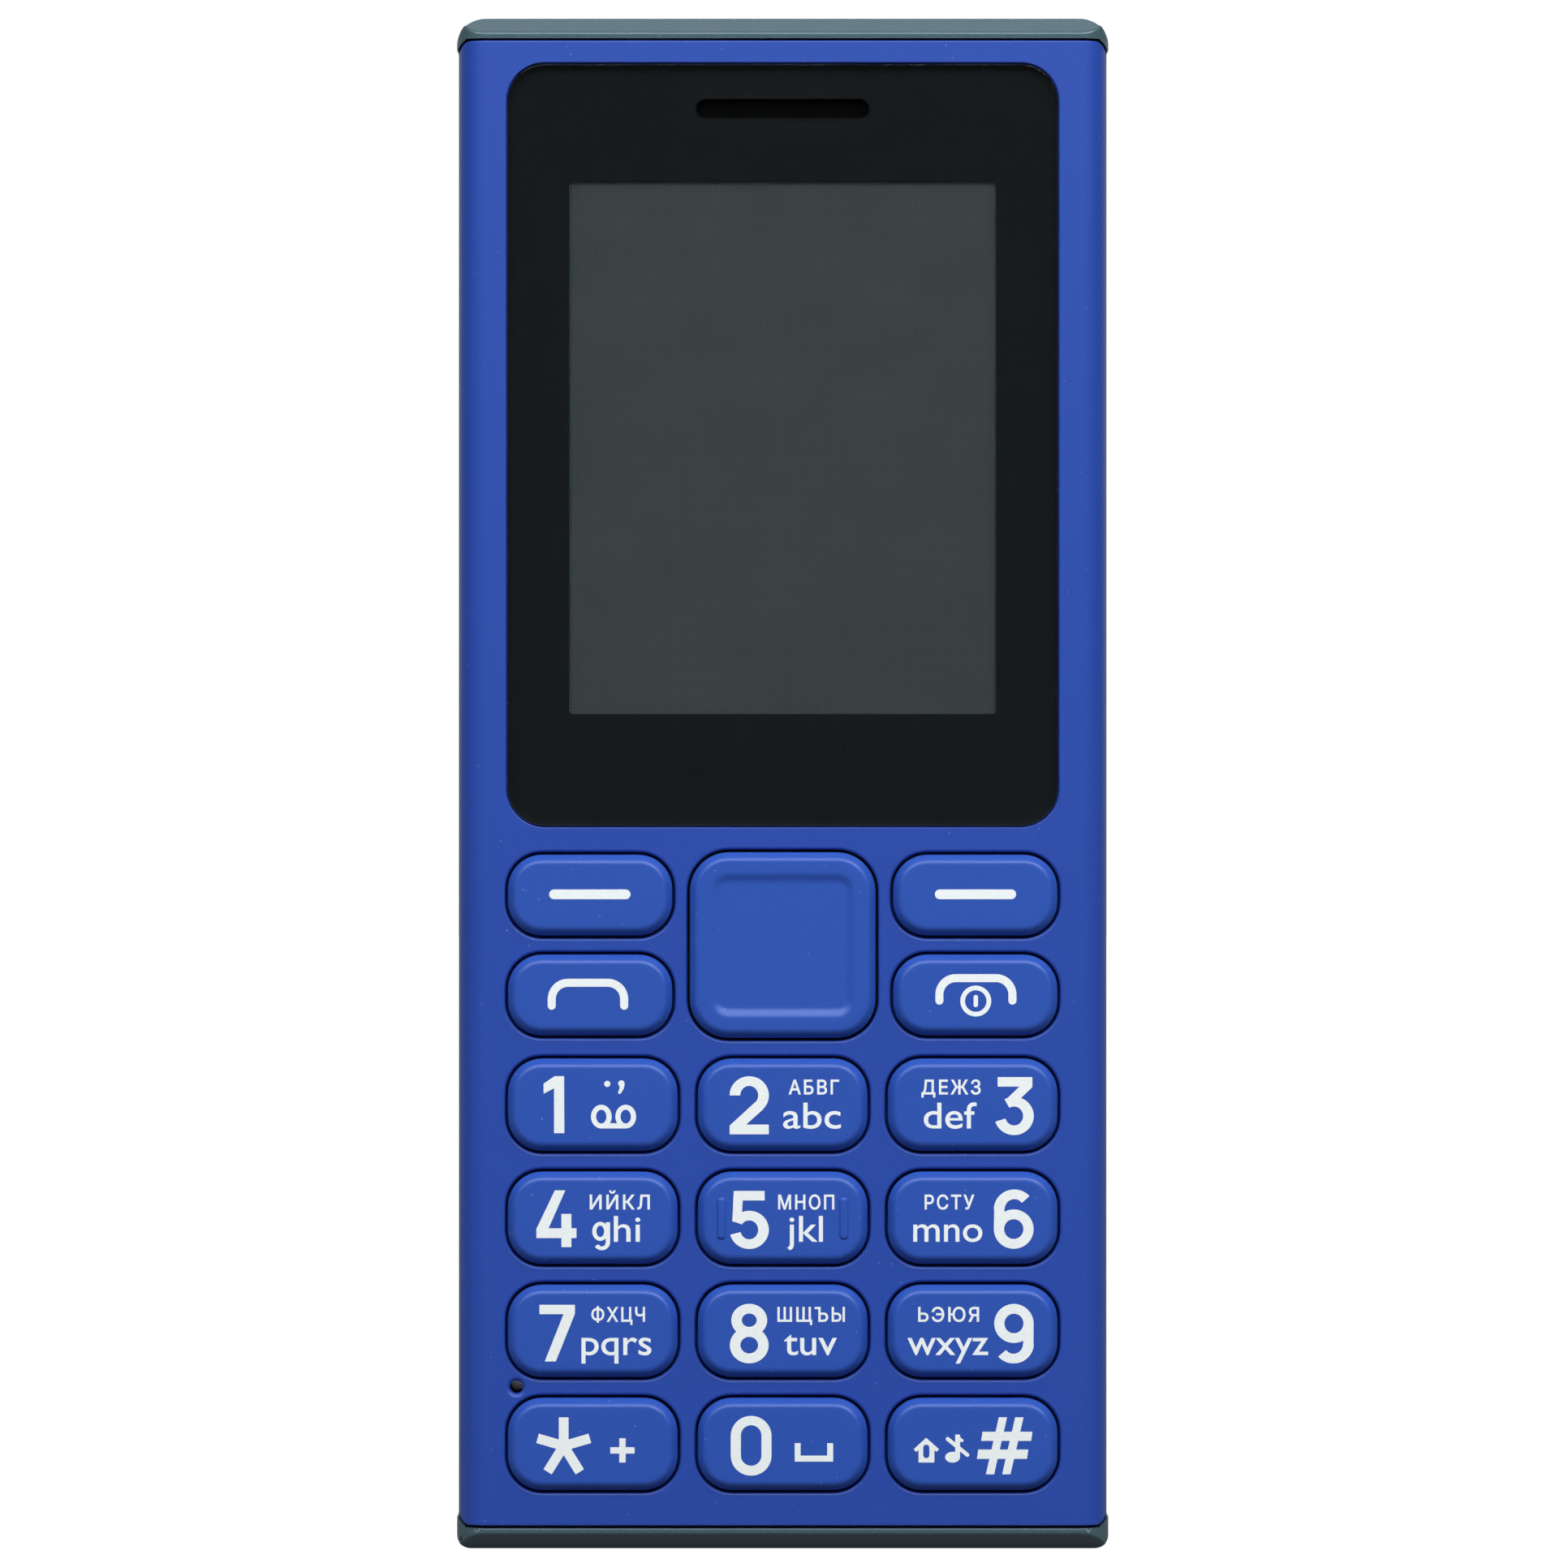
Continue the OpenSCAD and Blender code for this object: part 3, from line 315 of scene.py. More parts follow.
def make_piece(name: str, built: Built, body: str, finish: "Finish") -> Object:
    """Makes a smooth-shaded object on a body from face points and faces.

    Args:
        name: name of the piece.
        built: points as x, z and height in millimetres, and faces.
        body: CAD body that it moves with.
        finish: what it is made of.

    Returns:
        The object.
    """
    points, faces = built
    mesh = bpy.data.meshes.new(name)
    mesh.from_pydata(FACE.place(points).tolist(), [], faces)
    mesh.polygons.foreach_set("use_smooth", np.ones(len(mesh.polygons), bool))
    mesh.set_sharp_from_angle(angle=SMOOTH_ANGLE)
    piece = bpy.data.objects.new(name, mesh)
    bpy.context.scene.collection.objects.link(piece)
    finish.dress(piece)
    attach(piece, body)
    log.info("%s: %d faces on %s", name, len(faces), body)
    return piece


# Finishes


def linear(colour: str) -> tuple[float, float, float, float]:
    """Turns an sRGB hex colour into linear light by undoing the sRGB curve.

    Args:
        colour: hex colour with its sign.

    Returns:
        Red, green, blue and alpha.
    """
    part = np.array([int(colour[i : i + 2], 16) for i in (1, 3, 5)]) / 255
    red, green, blue = np.where(part <= 0.04045, part / 12.92, ((part + 0.055) / 1.055) ** 2.4).tolist()
    return red, green, blue, 1.0


def add_node(tree: NodeTree, kind: str, inputs: dict | None = None, **settings: object) -> Node:
    """Adds a node with its settings, and links or sets its inputs.

    Args:
        tree: node tree that it goes into.
        kind: Blender's name of the node type.
        inputs: sockets to link from, or values to set, by input name or number.
        settings: properties of the node.

    Returns:
        The node.
    """
    made = tree.nodes.new(kind)
    for name, value in settings.items():
        setattr(made, name, value)
    for name, value in (inputs or {}).items():
        if isinstance(value, NodeSocket):
            tree.links.new(value, made.inputs[name])
        else:
            made.inputs[name].default_value = value
    return made


class Pattern(Enum):
    """What a finish shows close up."""

    GRAIN = auto()
    FLECKS = auto()
    BRUSHED = auto()
    WEAVE = auto()
    PIXELS = auto()
    STRIPES = auto()
    CELLS = auto()


# The patterns' own shares: a fleck is one cell in a hundred, bright at its middle
FLECK_SPACING = 2.0
FLECK_EDGE, FLECK_CORE = 0.34, 0.22
FLECK_RARITY = 0.99
NOISE_SPAN = (0.3, 0.7)
NOISE_DETAIL = 3.0
BRUSH_STRETCH = (0.04, 1.0, 1.0)
UPRIGHT = (-math.pi / 2, 0.0, 0.0)
PIXEL_GAP, PIXEL_BLUR = 0.07, 0.4
PIXEL_TONES = (1.0, 0.86, 0.0)
# A wave node repeats every pi / 10 of its scaled coordinate
WAVE_PERIOD = math.pi / 10


@dataclass(frozen=True)
class Finish:
    """A procedural surface: two colours, a pattern of a real size, gloss and relief."""

    name: str
    colour: str
    shade: str
    pattern: Pattern
    size_mm: float
    roughness: Pair
    relief_mm: float
    metallic: float = 0.0
    ior: float = 1.5
    mottle: float = 0.05
    extra: dict = field(default_factory=dict)

    def dress(self, piece: Object) -> None:
        """Puts the finish on every material slot of a piece."""
        if not piece.material_slots:
            piece.data.materials.append(None)
        for place in piece.material_slots:
            place.material = self.material()

    def material(self) -> Material:
        """Gives the finish's material, made the first time that it is asked for.

        Returns:
            The material.
        """
        if self.name in bpy.data.materials:
            return bpy.data.materials[self.name]
        made = bpy.data.materials.new(self.name)
        made.use_nodes = True
        tree = made.node_tree
        tree.nodes.clear()
        add_node(tree, "ShaderNodeOutputMaterial", {"Surface": self.surface(tree)})
        return made

    def surface(self, tree: NodeTree) -> NodeSocket:
        """Builds the shader: the pattern steers colour, roughness and relief.

        Args:
            tree: node tree of the material.

        Returns:
            The shader's socket.
        """
        place = add_node(tree, "ShaderNodeTexCoord").outputs["Object"]
        amount = self.amount(tree, place)
        tones = {0: amount, 6: linear(self.shade), 7: linear(self.colour)}
        tone = add_node(tree, "ShaderNodeMix", tones, data_type="RGBA").outputs[2]
        smooth, rough = self.roughness
        sheen = {"Value": amount, "To Min": rough, "To Max": smooth}
        gloss = add_node(tree, "ShaderNodeMapRange", sheen).outputs[0]
        height = {"Height": amount, "Strength": 1.0, "Distance": self.relief_mm * MM}
        bump = add_node(tree, "ShaderNodeBump", height).outputs[0]
        inputs = {"Base Color": tone, "Roughness": gloss, "Normal": bump, "Metallic": self.metallic}
        if not self.metallic:
            inputs["IOR"] = self.ior
        return add_node(tree, "ShaderNodeBsdfPrincipled", inputs | self.extra).outputs[0]

    def amount(self, tree: NodeTree, place: NodeSocket) -> NodeSocket:
        """Builds the pattern, from 0 where the shade shows to 1 where the colour does.

        Args:
            tree: node tree of the material.
            place: object coordinates in metres.

        Returns:
            The pattern's socket.
        """
        per_metre = 1 / (self.size_mm * MM)
        if self.pattern is Pattern.GRAIN:
            return self.noise(tree, place, per_metre)
        if self.pattern is Pattern.FLECKS:
            return self.flecks(tree, place, per_metre)
        if self.pattern is Pattern.BRUSHED:
            drawn = add_node(tree, "ShaderNodeMapping", {"Vector": place, "Scale": BRUSH_STRETCH}).outputs[0]
            return self.noise(tree, drawn, per_metre)
        if self.pattern is Pattern.CELLS:
            cells = add_node(tree, "ShaderNodeTexVoronoi", {"Vector": place, "Scale": per_metre})
            return cells.outputs["Distance"]
        upright = add_node(tree, "ShaderNodeMapping", {"Vector": place, "Rotation": UPRIGHT}).outputs[0]
        if self.pattern is Pattern.PIXELS:
            return self.pixels(tree, upright, per_metre)
        return self.threads(tree, upright, per_metre)

    @staticmethod
    def noise(tree: NodeTree, place: NodeSocket, per_metre: float) -> NodeSocket:
        """Builds a fine noise, spread over the whole range from 0 to 1.

        Args:
            tree: node tree of the material.
            place: coordinates in metres.
            per_metre: grains in a metre.

        Returns:
            The pattern's socket.
        """
        grains = {"Vector": place, "Scale": per_metre, "Detail": NOISE_DETAIL}
        raw = add_node(tree, "ShaderNodeTexNoise", grains).outputs["Fac"]
        span = {"Value": raw, "From Min": NOISE_SPAN[0], "From Max": NOISE_SPAN[1]}
        return add_node(tree, "ShaderNodeMapRange", span).outputs[0]

    def flecks(self, tree: NodeTree, place: NodeSocket, per_metre: float) -> NodeSocket:
        """Builds a faint noise with rare spots: 1 less the greater of the two, so that both take the shade.

        Args:
            tree: node tree of the material.
            place: object coordinates in metres.
            per_metre: grains in a metre.

        Returns:
            The pattern's socket.
        """
        spread = {"Vector": place, "Scale": per_metre / FLECK_SPACING}
        cells = add_node(tree, "ShaderNodeTexVoronoi", spread).outputs
        rim = {"Value": cells["Distance"], "From Min": FLECK_EDGE, "From Max": FLECK_CORE}
        near = add_node(tree, "ShaderNodeMapRange", rim).outputs[0]
        red = add_node(tree, "ShaderNodeSeparateColor", {"Color": cells["Color"]}).outputs[0]
        chosen = {"Value": red, "From Min": FLECK_RARITY, "From Max": 1.0}
        rare = add_node(tree, "ShaderNodeMapRange", chosen).outputs[0]
        spot = add_node(tree, "ShaderNodeMath", {0: near, 1: rare}, operation="MULTIPLY").outputs[0]
        grain = self.noise(tree, place, per_metre)
        body = add_node(tree, "ShaderNodeMath", {0: grain, 1: self.mottle}, operation="MULTIPLY").outputs[0]
        pale = add_node(tree, "ShaderNodeMath", {0: body, 1: spot}, operation="MAXIMUM").outputs[0]
        return add_node(tree, "ShaderNodeMath", {0: 1.0, 1: pale}, operation="SUBTRACT").outputs[0]

    @staticmethod
    def pixels(tree: NodeTree, upright: NodeSocket, per_metre: float) -> NodeSocket:
        """Builds square tiles of two near tones with dark gaps between them.

        Args:
            tree: node tree of the material.
            upright: coordinates in metres, turned to lie along the face.
            per_metre: tiles in a metre.

        Returns:
            The pattern's socket.
        """
        bright, dim, gap = ((tone,) * 4 for tone in PIXEL_TONES)
        tiles = {
            "Vector": upright, "Scale": per_metre, "Brick Width": 1.0, "Row Height": 1.0,
            "Mortar Size": PIXEL_GAP, "Mortar Smooth": PIXEL_BLUR,
            "Color1": bright, "Color2": dim, "Mortar": gap,
        }
        return add_node(tree, "ShaderNodeTexBrick", tiles, offset=0.0, squash=1.0).outputs["Color"]

    def threads(self, tree: NodeTree, upright: NodeSocket, per_metre: float) -> NodeSocket:
        """Builds stripes of one sine wave, or a weave of two waves that cross.

        Args:
            tree: node tree of the material.
            upright: coordinates in metres, turned to lie along the face.
            per_metre: stripes in a metre.

        Returns:
            The pattern's socket.
        """
        bands = {"Vector": upright, "Scale": per_metre * WAVE_PERIOD}
        warp = add_node(tree, "ShaderNodeTexWave", bands, bands_direction="X").outputs["Fac"]
        if self.pattern is Pattern.STRIPES:
            return warp
        weft = add_node(tree, "ShaderNodeTexWave", bands, bands_direction="Y").outputs["Fac"]
        return add_node(tree, "ShaderNodeMath", {0: warp, 1: weft}, operation="MAXIMUM").outputs[0]


@dataclass(frozen=True)
class ClearFinish(Finish):
    """A clear pane: it refracts what is seen through it and lets lamp light straight through."""

    def surface(self, tree: NodeTree) -> NodeSocket:
        """Builds the shader: the solid finish with full transmission, and no shadow of its own.

        Args:
            tree: node tree of the material.

        Returns:
            The shader's socket.
        """
        pane = super().surface(tree)
        clear = add_node(tree, "ShaderNodeBsdfTransparent").outputs[0]
        ray = add_node(tree, "ShaderNodeLightPath").outputs["Is Shadow Ray"]
        return add_node(tree, "ShaderNodeMixShader", {0: ray, 1: pane, 2: clear}).outputs[0]


# Satin paint over moulded polycarbonate: even colour, soft gloss, a fine sprayed grain and a rare pale fleck.
# The grain of real spray is about 0.05 mm and is drawn at 0.12 mm so that it shows.
BLUE_PAINT = Finish(
    "satin_blue_paint_on_moulded_polycarbonate", "#2347a9", "#6580ca", Pattern.FLECKS, 0.12, (0.40, 0.48),
    relief_mm=0.0025, extra={"Specular Tint": (0.8, 0.9, 1.0, 1.0)},
)
# The same paint on the keys, a little paler.
KEY_PAINT = replace(BLUE_PAINT, name="satin_blue_paint_on_moulded_keys", colour="#2751b3", shade="#6a88d0")
# Satin paint with fine metal powder: a grey that lightens where it faces the lamp.
GREY_PAINT = Finish(
    "satin_metallic_paint_on_moulded_cover", "#425a63", "#6d828a", Pattern.FLECKS, 0.14, (0.32, 0.4), 0.003,
    metallic=0.1, mottle=0.2, extra={"Specular Tint": (0.8, 0.95, 1.0, 1.0)},
)
# Cast acrylic, polished: clear, with a mirror gloss that wiping has barely dulled.
ACRYLIC = ClearFinish(
    "polished_cast_acrylic", "#ffffff", "#f6fafa", Pattern.GRAIN, 4.0, (0.0, 0.03), 0.0, ior=1.49,
    extra={"Transmission Weight": 1.0},
)
# Screen inks, black under the lens and white on the keys: opaque, with the faint grain of the screen.
BLACK_INK = Finish(
    "black_screen_ink_under_acrylic", "#171b1d", "#131618", Pattern.GRAIN, 0.3, (0.35, 0.5), 0.001,
    extra={"Specular IOR Level": 0.0},
)
WHITE_INK = Finish("white_screen_ink", "#f8feff", "#eef6f8", Pattern.GRAIN, 0.15, (0.45, 0.6), 0.001)
# Liquid crystal cell with no light behind it: grey-green film under glass, ruled by its dark pixel grid.
LCD = Finish("unlit_liquid_crystal_cell", "#2d3635", "#252c2b", Pattern.PIXELS, 0.25, (0.2, 0.3), 0.0)

SLOT_FINISHES: dict[str, Finish] = {
    "blue_paint": BLUE_PAINT,
    "key_paint": KEY_PAINT,
    "grey_paint": GREY_PAINT,
    "clear_lens": ACRYLIC,
    "display_glass": LCD,
    # Moulded polystyrene: white, soft gloss.
    "white_plastic": Finish(
        "moulded_white_polystyrene", "#efeee8", "#e2e0d8", Pattern.GRAIN, 0.4, (0.35, 0.5), 0.002
    ),
    # Polyimide film with etched copper: amber, with darker lines where the copper runs.
    "amber_film": Finish(
        "etched_polyimide_film", "#a8692a", "#7c4a1c", Pattern.STRIPES, 0.5, (0.25, 0.4), 0.004
    ),
    # Moulded silicone rubber: milky, dull.
    "silicone": Finish(
        "moulded_silicone_rubber", "#d2d5da", "#c3c7ce", Pattern.GRAIN, 0.3, (0.55, 0.7), 0.003, ior=1.41
    ),
    # Moulded black rubber: dull, with hardly a gleam. Its black is darker than the rubber's own, as painted
    # shade for the inside of the microphone hole.
    "black_rubber": Finish(
        "moulded_black_rubber_with_painted_hole_shade", "#141414", "#0c0c0c", Pattern.GRAIN, 0.25, (0.7, 0.85), 0.004,
        extra={"Specular IOR Level": 0.15},
    ),
    # Closed cell foam tape: dull black with pores.
    "black_foam": Finish(
        "closed_cell_foam_tape", "#262626", "#101010", Pattern.CELLS, 0.25, (0.85, 0.95), 0.02
    ),
    # Woven polyester dust mesh: black threads that cross about four times in a millimetre. It is darker than
    # the mesh's own black, as painted shade for the earpiece slot.
    "black_mesh": Finish(
        "woven_polyester_dust_mesh_with_painted_slot_shade", "#0b0c0d", "#040404", Pattern.WEAVE, 0.25, (0.7, 0.85), 0.02,
        extra={"Specular IOR Level": 0.0},
    ),
    # Stamped steel sheet, nickel plated: bright, with fine rolling lines.
    "steel": Finish(
        "stamped_nickel_plated_steel", "#c9cbce", "#a9acb0", Pattern.BRUSHED, 0.12, (0.22, 0.38), 0.002,
        metallic=1.0,
    ),
    # Brass with a thin gold plate: warm and bright.
    "brass": Finish(
        "gold_plated_brass", "#d9b66c", "#b9924c", Pattern.BRUSHED, 0.15, (0.2, 0.34), 0.002, metallic=1.0
    ),
    # Glass laminate under solder mask: green gloss over a faint pattern of copper.
    "board_green": Finish(
        "solder_masked_glass_laminate", "#1f7a4c", "#155a38", Pattern.CELLS, 1.6, (0.22, 0.36), 0.01
    ),
    # Moulded ABS with a spark-eroded texture: dark and dull, an even fine grit.
    "black_plastic": Finish(
        "spark_textured_moulded_abs", "#2b2e33", "#1c1e22", Pattern.GRAIN, 0.22, (0.5, 0.66), 0.012
    ),
    # Phosphor in clear silicone: soft yellow gloss.
    "led_yellow": Finish(
        "phosphor_in_clear_silicone", "#f0dc74", "#dcbf4e", Pattern.GRAIN, 0.2, (0.15, 0.3), 0.004
    ),
    # Printed film shrunk over the cell: dark blue-grey, even, slightly glossy.
    "battery_wrap": Finish(
        "printed_film_over_battery_can", "#46545f", "#384550", Pattern.GRAIN, 0.5, (0.3, 0.42), 0.003
    ),
}


# Shells


@dataclass
class Shells:
    """The blue front housing and the grey rear cover, as the solids with their sharp edges rounded off.

    The rounding is fine but for a wider lip round the key openings.
    """

    edge_mm: float = 0.12
    lip_mm: float = 0.20
    pocket_mm: float = 0.05
    edge_segments: int = 3
    edge_angle: float = math.radians(30)
    merge_mm: float = 0.001
    flat_angle: float = math.radians(0.5)
    face_depth_mm: float = 0.05
    side_depth_mm: float = 4.9
    cap_z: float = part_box("cover_top_cap")[0].z
    blue_ends: tuple[float, ...] = tuple(corner.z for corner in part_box("front_housing"))
    horn_z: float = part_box("cover_corners")[0].z
    horn_x_mm: float = 22.5
    hole: tuple[float, ...] = tuple(middle("microphone"))
    hole_reach_mm: float = 0.9
    lens_foot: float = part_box("display_lens")[0].z
    pocket_reach_mm: float = 0.5

    def build(self) -> None:
        """Builds the shells in place of their nodes."""
        self.shell("housing_painted", "front_housing", "chassis", "blue_paint", self.housing_edge)
        self.shell("cover_painted", "rear_cover", "rear_cover", "grey_paint", self.cover_edge)
        self.shell("cover_cap_painted", "cover_top_cap", "rear_cover", "grey_paint", self.cover_edge)

    def cover_edge(self, point: Vector) -> float:
        """Gives the cover's rounding at a point: none where the top cap or a corner piece meets the tub."""
        seam = abs(point.z - self.cap_z) < self.merge_mm * MM
        horn = abs(point.z - self.horn_z) < self.merge_mm * MM and abs(point.x) > self.horn_x_mm * MM
        return self.edge_mm * (not (seam or horn))

    def housing_edge(self, point: Vector) -> float:
        """Gives the housing's rounding at a point: fine at its two ends, its microphone hole and its lens
        pocket, a lip round the key openings, none inside.

        Args:
            point: place on the housing, in metres.

        Returns:
            Width in millimetres.
        """
        depth = (point.y - FACE.y) / MM
        if min(abs(point.z - end) for end in self.blue_ends) < self.merge_mm * MM:
            return self.edge_mm * (depth < self.side_depth_mm)
        from_hole = math.dist((point.x / MM, point.z / MM), self.hole)
        width = self.edge_mm if from_hole < self.hole_reach_mm else self.lip_mm
        if point.z > self.lens_foot - self.pocket_reach_mm * MM:
            width = self.pocket_mm
        return width * (depth < self.face_depth_mm)

    def shell(self, name: str, node: str, body: str, slot: str, rounding: Callable[[Vector], float]) -> None:
        """Copies a node, merges its loose triangles into faces and rounds its edges.

        Args:
            name: name of the new piece.
            node: CAD node that it is copied from and stands for.
            body: CAD body that it moves with.
            slot: material slot of the record.
            rounding: width in millimetres at a point in metres.
        """
        piece = bpy.data.objects.new(name, frame["nodes"][node].data.copy())
        bpy.context.scene.collection.objects.link(piece)
        self.round_edges(piece, rounding)
        SLOT_FINISHES[slot].dress(piece)
        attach(piece, body)
        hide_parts(node)
        log.info("%s: %d faces on %s", name, len(piece.data.polygons), body)

    def round_edges(self, piece: Object, rounding: Callable[[Vector], float]) -> None:
        """Rounds the sharp edges by the larger of the widths at their two ends.

        Args:
            piece: shell to work on.
            rounding: width in millimetres at a point in metres.
        """
        work = bmesh.new()
        work.from_mesh(piece.data)
        bmesh.ops.remove_doubles(work, verts=work.verts, dist=self.merge_mm * MM)
        bmesh.ops.dissolve_limit(
            work, angle_limit=self.flat_angle, use_dissolve_boundaries=False,
            verts=work.verts, edges=work.edges,
        )
        weight = work.edges.layers.float.new("bevel_weight_edge")
        for edge in work.edges:
            sharp = edge.is_manifold and edge.calc_face_angle() > self.edge_angle
            edge[weight] = sharp * max(rounding(v.co) for v in edge.verts) / self.lip_mm
        work.to_mesh(piece.data)
        work.free()
        piece.data.polygons.foreach_set("use_smooth", np.ones(len(piece.data.polygons), bool))
        piece.data.set_sharp_from_angle(angle=SMOOTH_ANGLE)
        soft = piece.modifiers.new("soft_edges", "BEVEL")
        soft.limit_method = "WEIGHT"
        soft.width = self.lip_mm * MM
        soft.segments = self.edge_segments
        soft.use_clamp_overlap = False
        soft.loop_slide = False
        flat = piece.modifiers.new("flat_faces_stay_flat", "WEIGHTED_NORMAL")
        flat.keep_sharp = True


# Lens


@dataclass
class LensWindow:
    """The clear lens with its earpiece slot and the black ink printed under its hard-coated front film."""

    size: Pair = (41.14, 57.0)
    corner: float = 2.75
    slot_size: Pair = (13.0, 1.46)
    slot_z: float = 108.06
    window_size: Pair = (32.0, 39.97)
    window_corner: float = 0.25
    window_z: float = 82.68
    front: float = -0.15
    back: float = -1.15
    edge: float = 0.03
    edge_steps: int = 5
    margin: float = 0.06
    points_between: int = 60
    ink_inset: float = 0.01
    ink_heights: Pair = (-0.85, -0.82)
    film_reach: float = 0.4
    film_corner: float = 0.5
    film_edge: float = 0.05
    film_margin: float = 0.15
    film_heights: Pair = (-2.0, -1.17)

    def build(self) -> None:
        """Builds the lens, its ink and the display's film under it."""
        lens = make_piece("lens_clear", loft(self.loops(), ring=True), "chassis", ACRYLIC)
        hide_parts("display_lens")
        border = slab(self.ink(), *self.ink_heights)
        make_piece("lens_border_ink", border, "chassis", BLACK_INK)
        make_piece("display_front_film", loft(self.film()), "chassis", LCD)

    def film(self) -> np.ndarray:
        """Carries the film's profile round the display window: its back, its eased edge and its flat front.

        Returns:
            Array of loops by points by three, in millimetres.
        """
        width, height = np.array(self.window_size) + 2 * self.film_reach
        low, high = self.film_heights
        flat = self.film_edge + self.film_margin
        profile = [(0.0, low), (0.0, high - self.film_edge), (self.film_edge, high), (flat, high)]
        return carry(profile, (width, height), self.film_corner, np.array([0.0, self.window_z]))

    def outline(self, inset: float) -> np.ndarray:
        """Gives the lens outline, moved in by an inset, about its middle."""
        width, height = np.array(self.size) - 2 * inset
        return round_rect(width, height, self.corner - inset) + middle("display_lens")

    def slot(self, grow: float) -> np.ndarray:
        """Gives the earpiece slot's outline, widened by an amount."""
        width, height = np.array(self.slot_size) + 2 * grow
        reach = (width - height) / 2
        return stroke((-reach, self.slot_z), (reach, self.slot_z), height)

    def loops(self) -> np.ndarray:
        """Sets loops out and in on shared bearings about the slot: up the sides, over the rounded
        edge, across the front, and back down through the sharp-edged slot.

        Returns:
            Array of loops by points by three, in millimetres.
        """
        bend = np.linspace(0, np.pi / 2, self.edge_steps)
        inset = self.edge * (1 - np.cos(bend))
        drop = self.edge * (1 - np.sin(bend))
        side, hole = self.outline(0), self.slot(0)
        rounded = [(self.outline(i), self.front - d) for i, d in zip(inset, drop)]
        front = [(self.outline(self.edge + self.margin), self.front), (self.slot(self.margin), self.front)]
        lines = [(side, self.back), *rounded, *front, (hole, self.front), (hole, self.back)]
        bearings = np.unique(np.concatenate([self.bearing(side), self.bearing(hole)]).round(5))
        return np.stack([self.on_bearings(line, h, bearings) for line, h in lines])

    def bearing(self, line: np.ndarray) -> np.ndarray:
        """Gives the angle of each point of a line about the slot's middle."""
        return np.arctan2(line[:, 1] - self.slot_z, line[:, 0])

    def on_bearings(self, line: np.ndarray, height: float, bearings: np.ndarray) -> np.ndarray:
        """Finds where rays from the slot's middle meet a closed line.

        Args:
            line: outline, against the clock.
            height: height of the loop.
            bearings: angles of the rays.

        Returns:
            Points as x, z and height.
        """
        share = np.linspace(0, 1, self.points_between, endpoint=False)[None, :, None]
        dense = (line[:, None] * (1 - share) + np.roll(line, -1, axis=0)[:, None] * share).reshape(-1, 2)
        angle = self.bearing(dense)
        reach = np.hypot(dense[:, 0], dense[:, 1] - self.slot_z)
        order = np.argsort(angle)
        far = np.interp(bearings, angle[order], reach[order], period=2 * np.pi)
        return np.column_stack([
            far * np.cos(bearings), self.slot_z + far * np.sin(bearings), np.full(len(bearings), height)
        ])

    def ink(self) -> Flat:
        """Gives the printed border: the lens outline less the display window and the earpiece slot."""
        window = round_rect(*self.window_size, self.window_corner) + [0.0, self.window_z]
        return fuse([self.outline(self.ink_inset)], [window, self.slot(self.ink_inset)])


# Keys


@dataclass(frozen=True)
class TextLine:
    """A line of printed letters, set by its middle, width and baseline on the key."""

    body: str
    x: float
    width: float
    baseline: float
    height: float
    reference: str
    pen: float
    spacing: float = 1.0
    curve_steps: int = 6
    least_step: float = 1e-5

    def shape(self) -> Flat:
        """Sets the letters: scaled to the width and to the height of a reference letter, then
        thickened by half the pen all round.

        Returns:
            Points and triangles of the line.
        """
        points, triangles = self.letters(self.body, self.spacing)
        tall = self.letters(self.reference, 1.0)[0][:, 1].max()
        low, high = points[:, 0].min(), points[:, 0].max()
        scale = [(self.width - self.pen) / (high - low), (self.height - self.pen) / tall]
        points = (points - [(low + high) / 2, 0.0]) * scale + [self.x, self.baseline + self.pen / 2]
        return bolder((points, triangles), self.pen / 2)

    def letters(self, body: str, spacing: float) -> Flat:
        """Turns text into a flat shape: points along its cubic curves, filled by their winding.

        Args:
            body: letters to set.
            spacing: how far apart they stand, as a share of the font's own.

        Returns:
            Points and triangles at the font's own size.
        """
        data = bpy.data.curves.new("letters", "FONT")
        data.body = body
        data.space_character = spacing
        holder = bpy.data.objects.new("letters", data)
        bpy.context.scene.collection.objects.link(holder)
        bpy.context.view_layer.update()
        splines = holder.to_curve(bpy.context.evaluated_depsgraph_get()).splines
        share = np.linspace(0, 1, self.curve_steps, endpoint=False)[:, None]
        rest = 1 - share
        blend = np.stack([rest**3, 3 * share * rest**2, 3 * share**2 * rest, share**3])
        contours = []
        for spline in splines:
            found = [(p.co[:2], p.handle_right[:2], p.handle_left[:2]) for p in spline.bezier_points]
            knots = np.array(found)
            after = np.roll(knots, -1, axis=0)
            posts = np.stack([knots[:, 0], knots[:, 1], after[:, 2], after[:, 0]])
            line = (blend[:, None] * posts[:, :, None]).sum(axis=0).reshape(-1, 2)
            step = np.linalg.norm(line - np.roll(line, 1, axis=0), axis=1)
            contours.append(line[step > self.least_step])
        holder.to_curve_clear()
        bpy.data.objects.remove(holder)
        bpy.data.curves.remove(data)
        return fill(contours)


@dataclass(frozen=True)
class Legend:
    """What is printed on a key: drawn marks, openings in them, and lines of letters."""

    ink: tuple[np.ndarray, ...]
    cuts: tuple[np.ndarray, ...] = ()
    lines: tuple[TextLine, ...] = ()


class KeySize(Enum):
    """Width and height of the two kinds of key."""

    NUMBER = (12.7, 6.9)
    SIDE = (12.3, 6.05)


